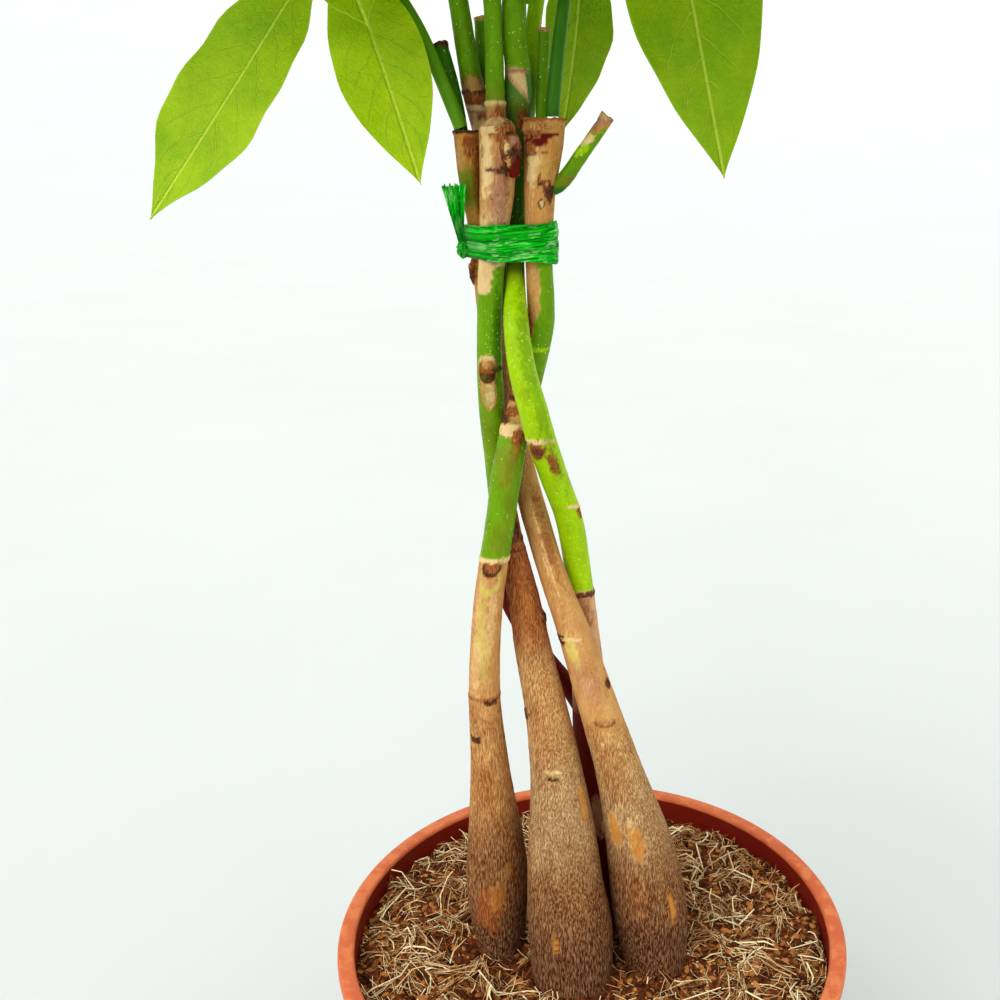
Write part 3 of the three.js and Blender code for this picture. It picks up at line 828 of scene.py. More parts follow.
class Scatter:
    """Geometry Nodes trees that strew small things over a surface."""

    def __init__(self) -> None:
        """Builds the two trees."""
        self.strands = self.make_strands()
        self.grains = self.make_grains()

    def start(self, name: str, floats: dict[str, float]) -> tuple[NodeTree, Board, Node]:
        """Starts a tree that takes a mesh and gives a mesh.

        Args:
            name: The tree's name.
            floats: Starting values of its number inputs, by name.

        Returns:
            The tree, its board and its input node.
        """
        tree = bpy.data.node_groups.new(name, "GeometryNodeTree")
        tree.interface.new_socket("Surface", in_out="INPUT", socket_type="NodeSocketGeometry")
        for label, value in floats.items():
            socket = tree.interface.new_socket(label, in_out="INPUT", socket_type="NodeSocketFloat")
            socket.default_value = value
        tree.interface.new_socket("Seed", in_out="INPUT", socket_type="NodeSocketInt")
        tree.interface.new_socket("Finish", in_out="INPUT", socket_type="NodeSocketMaterial")
        tree.interface.new_socket("Result", in_out="OUTPUT", socket_type="NodeSocketGeometry")
        board = Board(tree)
        return tree, board, board.node("NodeGroupInput")

    def random(
        self, board: Board, low: object, high: object, seed: object, shift: int
    ) -> NodeSocket:
        """A random number for each point."""
        inputs = {2: low, 3: high, 8: board.math("ADD", seed, float(shift))}
        return board.node("FunctionNodeRandomValue", inputs, data_type="FLOAT").outputs[1]

    def points(self, board: Board, start: Node) -> Node:
        """Strews points over the surface where its Open value lets them lie."""
        inputs = {
            "Mesh": start.outputs["Surface"],
            "Density": board.times(start.outputs["Density"], self.kept(board, "Open")),
            "Seed": start.outputs["Seed"],
        }
        return board.node("GeometryNodeDistributePointsOnFaces", inputs)

    def kept(self, board: Board, name: str) -> NodeSocket:
        """The number that the geometry keeps under a name."""
        inputs = {"Name": name}
        return board.node("GeometryNodeInputNamedAttribute", inputs, data_type="FLOAT").outputs[0]

    def shaded(self, board: Board, things: Node, shade: object) -> Node:
        """Keeps a shade with each thing that was placed."""
        inputs = {"Geometry": things, "Name": "Shade", "Value": shade}
        settings = {"data_type": "FLOAT", "domain": "INSTANCE"}
        return board.node("GeometryNodeStoreNamedAttribute", inputs, **settings)

    def finish(self, board: Board, start: Node, mesh: object) -> None:
        """Realizes what was placed and gives it its material."""
        solid = board.node("GeometryNodeRealizeInstances", {"Geometry": mesh})
        inputs = {"Geometry": solid, "Material": start.outputs["Finish"]}
        board.node("NodeGroupOutput", {0: board.node("GeometryNodeSetMaterial", inputs)})

    def make_strands(self) -> NodeTree:
        """Makes the tree for thin bent strands that lie on a surface."""
        floats = {"Density": 1.0, "Short": 0.01, "Long": 0.02, "Thin": 0.0002, "Thick": 0.0004}
        floats |= {"Tilt": 0.3, "Bend": 0.004, "Wall": 1.0}
        tree, board, start = self.start("Strands", floats)
        given = start.outputs
        seed = given["Seed"]
        ends = {"Start": (-0.5, 0, 0), "End": (0.5, 0, 0)}
        line = board.node("GeometryNodeCurvePrimitiveLine", ends)
        line = board.node("GeometryNodeResampleCurve", {"Curve": line, "Count": STRAND_POINTS})
        spot = board.node("GeometryNodeInputPosition")
        flat = board.vector("MULTIPLY", spot, (1, 1, 0))
        out = board.vector("LENGTH", flat).outputs["Value"]
        room = board.times(board.math("SUBTRACT", given["Wall"], out), 2.0)
        room = board.math("MAXIMUM", room, board.times(given["Short"], 0.5))
        length = self.random(board, given["Short"], given["Long"], seed, 1)
        lean = board.times(given["Tilt"], -1.0)
        angles = {
            0: self.random(board, lean, given["Tilt"], seed, 2),
            1: self.random(board, lean, given["Tilt"], seed, 3),
            2: self.random(board, 0.0, 2 * math.pi, seed, 4),
        }
        inputs = {
            "Points": self.points(board, start),
            "Instance": line,
            "Rotation": board.node("ShaderNodeCombineXYZ", angles),
            "Scale": board.math("MINIMUM", length, room),
        }
        laid = board.node("GeometryNodeInstanceOnPoints", inputs)
        laid = self.shaded(board, laid, self.random(board, 0.0, 1.0, seed, 5))
        laid = board.node("GeometryNodeRealizeInstances", {"Geometry": laid})
        waves = {"Vector": spot, "Scale": BEND_WAVES, "Detail": 1.0}
        swing = board.node("ShaderNodeTexNoise", waves).outputs["Color"]
        swing = board.vector("SUBTRACT", swing, (0.5, 0.5, 0.45))
        bend = {0: swing, "Scale": given["Bend"]}
        swing = board.node("ShaderNodeVectorMath", bend, operation="SCALE")
        bent = board.node("GeometryNodeSetPosition", {"Geometry": laid, "Offset": swing})
        squeeze = board.math("MINIMUM", 1.0, board.math("DIVIDE", given["Wall"], out))
        squeeze = board.node("ShaderNodeCombineXYZ", {0: squeeze, 1: squeeze, 2: 1.0})
        held = board.vector("MULTIPLY", spot, squeeze)
        bent = board.node("GeometryNodeSetPosition", {"Geometry": bent, "Position": held})
        spread = board.math("SUBTRACT", given["Thick"], given["Thin"])
        share = board.math("POWER", self.kept(board, "Shade"), 2.0)
        circle = {"Resolution": STRAND_SIDES, "Radius": 1.0}
        inputs = {
            "Curve": bent,
            "Profile Curve": board.node("GeometryNodeCurvePrimitiveCircle", circle),
            "Scale": board.math("ADD", board.times(share, spread), given["Thin"]),
            "Fill Caps": True,
        }
        self.finish(board, start, board.node("GeometryNodeCurveToMesh", inputs))
        return tree

    def make_grains(self) -> NodeTree:
        """Makes the tree for small flattened grains that sit on a surface."""
        floats = {"Density": 1.0, "Small": 0.0003, "Large": 0.0006, "Flat": 0.5}
        tree, board, start = self.start("Grains", floats)
        given = start.outputs
        seed = given["Seed"]
        strewn = self.points(board, start)
        size = self.random(board, given["Small"], given["Large"], seed, 1)
        long = board.times(size, self.random(board, 1.0, GRAIN_STRETCH, seed, 2))
        shape = {0: size, 1: long, 2: board.times(size, given["Flat"])}
        inputs = {
            "Points": strewn,
            "Instance": board.node("GeometryNodeMeshIcoSphere", {"Radius": 1.0, "Subdivisions": 1}),
            "Rotation": strewn.outputs["Rotation"],
            "Scale": board.node("ShaderNodeCombineXYZ", shape),
        }
        laid = board.node("GeometryNodeInstanceOnPoints", inputs)
        shade = self.random(board, 0.0, GRAIN_SHADE, seed, 3)
        self.finish(board, start, self.shaded(board, laid, shade))
        return tree

    def strew(self, name: str, surface: Object, tree: NodeTree, **values: object) -> Object:
        """Strews a tree's things over a surface.

        Args:
            name: The new object's name.
            surface: The object to strew them over.
            tree: The tree to use.
            values: Its inputs, by name.

        Returns:
            A plain mesh object with what was strewn.
        """
        host = link(name + "_host", surface.data)
        modifier = host.modifiers.new("Strew", "NODES")
        modifier.node_group = tree
        for item in tree.interface.items_tree:
            if item.in_out == "INPUT" and item.name in values:
                modifier[item.identifier] = values[item.name]
        result = plain_mesh(host)
        result.name = name
        bpy.data.objects.remove(host)
        return link(name, result)


def dress(piece: Object, slot: Slot, *nodes: str) -> Object:
    """Ties a finished piece to the part.

    Args:
        piece: The piece.
        slot: The material slot that it stands for; not used.
        nodes: The nodes that it stands for.

    Returns:
        The piece.
    """
    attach(piece, "root")
    if nodes:
        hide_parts(*nodes)
    triangles = sum(len(p.vertices) - 2 for p in piece.data.polygons)
    LOG.info("%s: %d triangles", piece.name, triangles)
    return piece


@dataclass
class Pot:
    """The nursery pot, turned from a profile."""

    rim_radius: float = 85.0
    rim_width: float = 5.5
    band_height: float = 22.0
    band_step: float = 3.0
    band_taper: float = 2.0
    lip_height: float = 4.0
    lip_step: float = 1.5
    edge_round: float = 1.2
    base_radius: float = 58.0
    wall: float = 2.0
    floor: float = 2.5
    drain_holes: int = 5
    drain_radius: float = 4.0
    drain_circle: float = 38.0
    drain_sides: int = 32
    sides: int = 144
    # the band at the top of the rim that gets scuffs and a painted highlight
    rim_wear_and_highlight_depths: tuple[float, float] = (4.0, 1.0)
    rim_wear_and_highlight_radii: tuple[float, float] = (78.0, 80.0)
    middle_rings: tuple[float, float, float] = (0.01, 20.0, 50.0)

    def body_radius(self) -> float:
        """Outer radius of the wall under the band."""
        return self.rim_radius - self.lip_step - self.band_taper - self.band_step

    def inner_radius(self) -> float:
        """Radius of the opening."""
        return self.rim_radius - self.rim_width

    def inner_wall(self) -> list[tuple[float, float]]:
        """Height and radius of the inside, from the floor up."""
        inner = self.inner_radius()
        band = POT_HEIGHT - self.band_height
        return [
            (self.floor, self.base_radius - self.wall),
            (band - self.wall, self.body_radius() - self.wall),
            (band + self.wall, inner - 0.5),
            (POT_HEIGHT - self.edge_round - 0.4, inner),
            (POT_HEIGHT - self.edge_round, inner),
        ]

    def profile(self) -> list[tuple[float, float]]:
        """Height and radius of the whole profile, from the underside out and back in."""
        band = POT_HEIGHT - self.band_height
        lip = POT_HEIGHT - self.lip_height
        bend = POT_HEIGHT - self.edge_round
        body = self.body_radius()
        top = self.rim_radius - self.lip_step
        sunk = top - self.band_taper
        rows = [(0, radius) for radius in self.middle_rings]
        rows += [(0, self.base_radius - self.edge_round)]
        rows += self.arc(self.edge_round, self.base_radius - self.edge_round, -90, 0, 4)
        for share in (0.25, 0.5, 0.75):
            rows.append((share * band, self.base_radius + share * (body - self.base_radius)))
        rows += [(band - 0.4, body), (band - 0.1, body + 0.3), (band, body + 0.8)]
        rows += [(band, body + 2.4), (band + 0.3, sunk - 0.1), (band + 0.8, sunk)]
        rows += [(lip - 0.6, top - 0.1), (lip, top), (lip + 0.5, top + 0.5)]
        rows += [(lip + 1.0, self.rim_radius)]
        rows += self.arc(bend, self.rim_radius - self.edge_round, 0, 90, 6)
        rows += [(POT_HEIGHT, self.rim_radius - 0.5 * self.rim_width)]
        rows += self.arc(bend, self.inner_radius() + self.edge_round, 90, 180, 6)
        rows += self.inner_wall()[::-1][1:]
        return rows + [(self.floor, radius) for radius in self.middle_rings[::-1]]

    def arc(
        self, height: float, radius: float, start: float, end: float, steps: int
    ) -> list[tuple[float, float]]:
        """A rounded edge of the profile.

        Args:
            height: Height of the arc's centre.
            radius: Distance of its centre from the axis.
            start: First angle in degrees, 0 outwards and 90 up.
            end: Last angle.
            steps: Number of steps.

        Returns:
            Height and radius of its points.
        """
        bend = self.edge_round
        turns = [math.radians(start + (end - start) * k / steps) for k in range(steps + 1)]
        return [(height + bend * math.sin(t), radius + bend * math.cos(t)) for t in turns]

    def build(self, finishes: Finishes) -> Object:
        """Turns the pot and drills its drain holes.

        Args:
            finishes: The materials.

        Returns:
            The pot.
        """
        rows = self.profile()
        points = lathe(rows, self.sides)
        # Inner marks the inner wall, which the material covers in painted shade.
        inside = len(self.inner_wall()) - 1 + len(self.middle_rings)
        inner = np.repeat(np.arange(len(rows)) >= len(rows) - inside, self.sides).astype(float)
        # the top of the rim, for scuffs and a painted highlight
        deep, shallow = (POT_HEIGHT - depth for depth in self.rim_wear_and_highlight_depths)
        reach = np.hypot(points[:, 0], points[:, 1])
        edge = ease(deep, shallow, points[:, 2]) * ease(*self.rim_wear_and_highlight_radii, reach)
        draft = Draft()
        draft.add(points, tube_faces(len(rows), self.sides), Inner=inner, Edge=edge)
        pot = draft.build("pot_shell", [finishes.pot])
        self.drill(pot)
        return dress(pot, Slot.POT, "pot")

    def drill(self, pot: Object) -> None:
        """Cuts the drain holes through the underside."""
        reach = self.drain_circle * MM
        for k in range(self.drain_holes):
            angle = 2 * math.pi * (k + 0.5) / self.drain_holes
            bpy.ops.mesh.primitive_cylinder_add(
                vertices=self.drain_sides, radius=self.drain_radius * MM, depth=4 * self.floor * MM
            )
            bit = bpy.context.object
            spot = (reach * math.cos(angle), reach * math.sin(angle), 0)
            bit.data.transform(Matrix.Translation(spot))
            cut = pot.modifiers.new("Drill", "BOOLEAN")
            cut.operation, cut.solver, cut.object = "DIFFERENCE", "EXACT", bit
            drilled = plain_mesh(pot)
            pot.modifiers.clear()
            pot.data = drilled
            bpy.data.objects.remove(bit)


@dataclass
class Soil:
    """Coir that fills the pot, with fibres, straws and crumbs on top."""

    pot: Pot
    feet: list[Point]
    below_rim: float = SOIL_DEPTH
    wall_gap: float = 0.3
    rings: int = 56
    sides: int = 168
    swells: tuple[tuple[float, float], ...] = ((2.2, 0.07), (1.3, 0.22), (0.7, 0.6))
    heap: float = 1.6
    heap_width: float = 9.0
    sag: float = 1.0
    sag_radii: tuple[float, float] = (70.0, 79.0)
    bare_widths: tuple[float, float] = (0.5, 3.0)
    fibre_density: float = 3.5e5
    straw_density: float = 4.8e4
    crumb_density: float = 2.2e5

    def radius(self) -> float:
        """Radius of the soil's top."""
        return self.pot.inner_radius() - 0.2 - self.wall_gap

    def ground(self, finishes: Finishes) -> Object:
        """Makes the soil, whose Open value says where things may lie on it."""
        reach = self.radius() * (1 - np.arange(self.rings) / self.rings) ** 0.8
        flat = lathe([(0.0, radius) for radius in reach], self.sides)
        swells = enumerate(self.swells)
        lift = sum(height * speckle(flat, scale, shift) for shift, (height, scale) in swells)
        away = [np.hypot(flat[:, 0] - x, flat[:, 1] - y) - r for x, y, r in self.feet]
        near = np.min(away, axis=0)
        sunk = ease(*self.sag_radii, np.hypot(flat[:, 0], flat[:, 1]))
        lift += self.heap * (1 - ease(0, self.heap_width, near)) - self.sag * sunk
        level = np.array([0, 0, POT_HEIGHT - self.below_rim])
        top = flat + level + np.outer(lift, [0, 0, 1])
        floor = self.pot.floor + self.wall_gap
        wall = self.pot.inner_wall()[:3]
        side = lathe([(max(h, floor), r - self.wall_gap) for h, r in wall], self.sides)
        opened = np.concatenate([np.zeros(len(side)), ease(*self.bare_widths, near)])
        draft = Draft()
        faces = tube_faces(len(wall) + self.rings, self.sides)
        draft.add(np.vstack([side, top]), faces, Open=opened)
        return draft.build("soil_ground", [finishes.soil], sharp=80)

    def build(self, finishes: Finishes, scatter: Scatter) -> list[Object]:
        """Makes the soil and strews its top.

        Args:
            finishes: The materials.
            scatter: The strewing trees.

        Returns:
            The soil and what lies on it.
        """
        ground = self.ground(finishes)
        common = {"Finish": finishes.fibre}
        strand = {**common, "Wall": (self.radius() - 0.2) * MM}
        fibres = scatter.strew(
            "soil_fibres", ground, scatter.strands, Density=self.fibre_density, Short=0.003,
            Long=0.012, Thin=0.00006, Thick=0.00018, Tilt=0.55, Bend=0.012, Seed=3, **strand,
        )
        straws = scatter.strew(
            "soil_straws", ground, scatter.strands, Density=self.straw_density, Short=0.01,
            Long=0.034, Thin=0.0001, Thick=0.00036, Tilt=0.32, Bend=0.02, Seed=11, **strand,
        )
        crumbs = scatter.strew(
            "soil_crumbs", ground, scatter.grains, Density=self.crumb_density, Small=0.0003,
            Large=0.0013, Flat=0.7, Seed=5, **common,
        )
        pieces = [dress(ground, Slot.SOIL, "soil")]
        return pieces + [dress(piece, Slot.SOIL) for piece in (fibres, straws, crumbs)]


@dataclass(frozen=True)
class Band:
    """The tint that a limb has from a height upwards, and over how many millimetres it sets in."""

    start: float
    tint: Tint
    soft: float = 0.6


class Shape(Enum):
    """Outlines of marks on bark."""

    PATCH = "an irregular round patch"
    MOON = "a half-moon with its round side down"
    RING = "a ring right round the limb"
    WEDGE = "a triangle that points down"


@dataclass(frozen=True)
class Mark:
    """A patch, scar or bump on bark: its centre, its half sizes and how far it stands out."""

    tint: Tint
    height: float
    angle: float
    tall: float
    wide: float
    lift: float = 0.0
    ragged: float = 0.35
    strength: float = 1.0
    shape: Shape = Shape.PATCH
    skew: float = 0.0

    def soft(self) -> float:
        """How softly the edge fades, more where the mark is ragged."""
        return 0.1 + 0.5 * max(self.ragged - 0.35, 0)

    def reach(self, across: np.ndarray, up: np.ndarray) -> np.ndarray:
        """How far out points lie, with 1 on the mark's outline.

        Args:
            across: Places across the mark, from -1 to 1 inside it.
            up: Places up the mark, from -1 to 1 inside it.

        Returns:
            The reach of each point.
        """
        if self.shape is Shape.MOON:
            return np.maximum(np.hypot(across, up), 1 + 2.5 * (up - 0.3 - 0.35 * across**2))
        if self.shape is Shape.RING:
            return np.abs(up)
        if self.shape is Shape.WEDGE:
            return np.maximum(np.abs(across) / np.maximum(0.5 + 0.5 * up, 0.02), np.abs(up))
        return np.hypot(across, up)


def many(kind: type, rows: list[tuple]) -> list:
    """Makes one thing of a kind from each row of values."""
    return [kind(*row) for row in rows]


@dataclass
class Limb:
    """A stem, shoot or stub with its bark."""

    stations: list[Station]
    bands: list[Band]
    marks: list[Mark] = field(default_factory=list)
    level: bool = False
    sides: int = 40
    spacing: float = 1.0
    top: Tint = Tint.CUT
    rim: Tint | None = None
    lumps: float = 0.08
    dome: float = -0.3
    wander: tuple[float, float] = (2.2, 0.9)
    rim_depths: tuple[float, float] = (0.9, 0.5)
    rim_lift: float = 0.25
    grain_lift: float = 0.12
    cut_grain: float = 0.35
    splinter: float = 0.45
    splinter_depth: float = 2.5

    def rings(self) -> tuple[np.ndarray, ...]:
        """Reads the path.

        Returns:
            Centres, radii, and the two directions that span each ring.
        """
        centres, radii = read_path(self.stations, self.spacing, 2)
        side = np.tile([1.0, 0.0, 0.0], (len(radii), 1))
        across = np.tile([0.0, 1.0, 0.0], (len(radii), 1))
        if not self.level:
            along = unit_rows(np.gradient(centres, axis=0))
            side = unit_rows(side - along * np.sum(side * along, axis=1)[:, None])
            across = np.cross(along, side)
        return centres, radii, side, across

    def paint(
        self, points: np.ndarray, radii: np.ndarray, turns: np.ndarray
    ) -> tuple[np.ndarray, ...]:
        """Works out the bark at points.

        Args:
            points: The points.
            radii: Radius of the limb at each.
            turns: Angle round the limb at each.

        Returns:
            Tint, ruggedness, how far each point stands out and how green it is.
        """
        heights = points[:, 2] - POT_HEIGHT
        broad = speckle(points, 0.18, 3)
        fine = speckle(points, 0.7, 5)
        warped = heights + self.wander[0] * broad + self.wander[1] * fine
        tint = np.tile(self.bands[0].tint.linear(), (len(points), 1))
        rugged = np.full(len(points), self.bands[0].tint.rugged())
        for band in self.bands[1:]:
            share = ease(band.start - band.soft, band.start + band.soft, warped)
            tint += share[:, None] * (band.tint.linear() - tint)
            rugged += share * (band.tint.rugged() - rugged)
        lift = self.lumps * (broad + 0.5 * fine)
        for mark in self.marks:
            turned = np.angle(np.exp(1j * (turns - math.radians(mark.angle))))
            up = (heights - mark.height) / mark.tall
            across = turned * radii / mark.wide + mark.skew * up
            if mark.shape is Shape.RING:
                across = across * 0
            near = np.flatnonzero((np.abs(across) < 2) & (np.abs(up) < 2))
            size = min(mark.tall, mark.wide)
            edge = speckle(points[near], 1.3 / size, mark.height)
            edge += 0.6 * speckle(points[near], 3.4 / size, mark.angle)
            far = mark.reach(across[near], up[near]) + mark.ragged * edge
            share = mark.strength * (1 - ease(1 - mark.soft(), 1 + mark.soft(), far))
            tint[near] += share[:, None] * (mark.tint.linear() - tint[near])
            rugged[near] += share * (mark.tint.rugged() - rugged[near])
            lift[near] += mark.lift * (1 - ease(0.5, 1.25, far))
        if self.rim:
            low, high = (self.stations[-1][0] - depth for depth in self.rim_depths)
            share = ease(low, high, heights + 0.5 * fine)
            tint += share[:, None] * (self.rim.linear() - tint)
            lift += self.rim_lift * share
        lift += self.grain_lift * rugged * speckle(points * np.array([1, 1, 0.35]), 1.1, 8)
        return tint, rugged, lift, ease(0.12, 0.02, rugged)

    def add_to(self, draft: Draft) -> None:
        """Adds the limb's closed surface to a mesh in the making."""
        centres, radii, side, across = self.rings()
        count, end = len(centres), centres[-1]
        rise = (end - centres[-2]) / np.linalg.norm(end - centres[-2])
        shares = np.array([0.93, 0.82, 0.55, 0.2])
        rises = np.array([0.12, 0.1 + 0.3 * self.dome, 0.75 * self.dome, self.dome])
        centres = np.vstack([centres, end + rises[:, None] * rise])
        radii = np.append(radii, radii[-1] * shares)
        side, across = (np.vstack([rows, np.tile(rows[-1], (4, 1))]) for rows in (side, across))
        points, out = tube_points(centres, radii, side, across, self.sides)
        turns = np.arctan2(out[:, 1], out[:, 0])
        tint, rugged, lift, green = self.paint(points, np.repeat(radii, self.sides), turns)
        cap = np.repeat(np.arange(len(radii)) >= count, self.sides)
        grain = speckle(points[cap], 0.9, 2)
        tint[cap] = self.top.linear() * (1 + self.cut_grain * grain[:, None])
        lift[cap] *= 0.3
        green[cap] = 0
        points = points + out * lift[:, None]
        splinters = self.splinter * speckle(points * np.array([1, 1, 0]), 0.8, 7)
        points[:, 2] += splinters * ease(-self.splinter_depth, 0, points[:, 2] - end[2])
        faces = tube_faces(len(radii), self.sides)
        draft.add(points, faces, Tint=tint, Rugged=rugged, Open=green)


@dataclass
class Stem:
    """One stem with what grew from it."""

    node: str
    limbs: list[Limb]
    slot: Slot = Slot.BARK

    def build(self, finishes: Finishes, scatter: Scatter, seed: int) -> list[Object]:
        """Makes the stem and the pale specks on its green bark.

        Args:
            finishes: The materials.
            scatter: The strewing trees.
            seed: Seed of the specks.

        Returns:
            The stem and its specks.
        """
        draft = Draft()
        for limb in self.limbs:
            limb.add_to(draft)
        body = draft.build(self.node + "_bark", [finishes.bark])
        specks = scatter.strew(
            self.node + "_specks", body, scatter.grains, Density=1.8e5, Small=0.00007,
            Large=0.00019, Flat=0.45, Seed=seed, Finish=finishes.speck,
        )
        return [dress(body, self.slot, self.node), dress(specks, self.slot)]


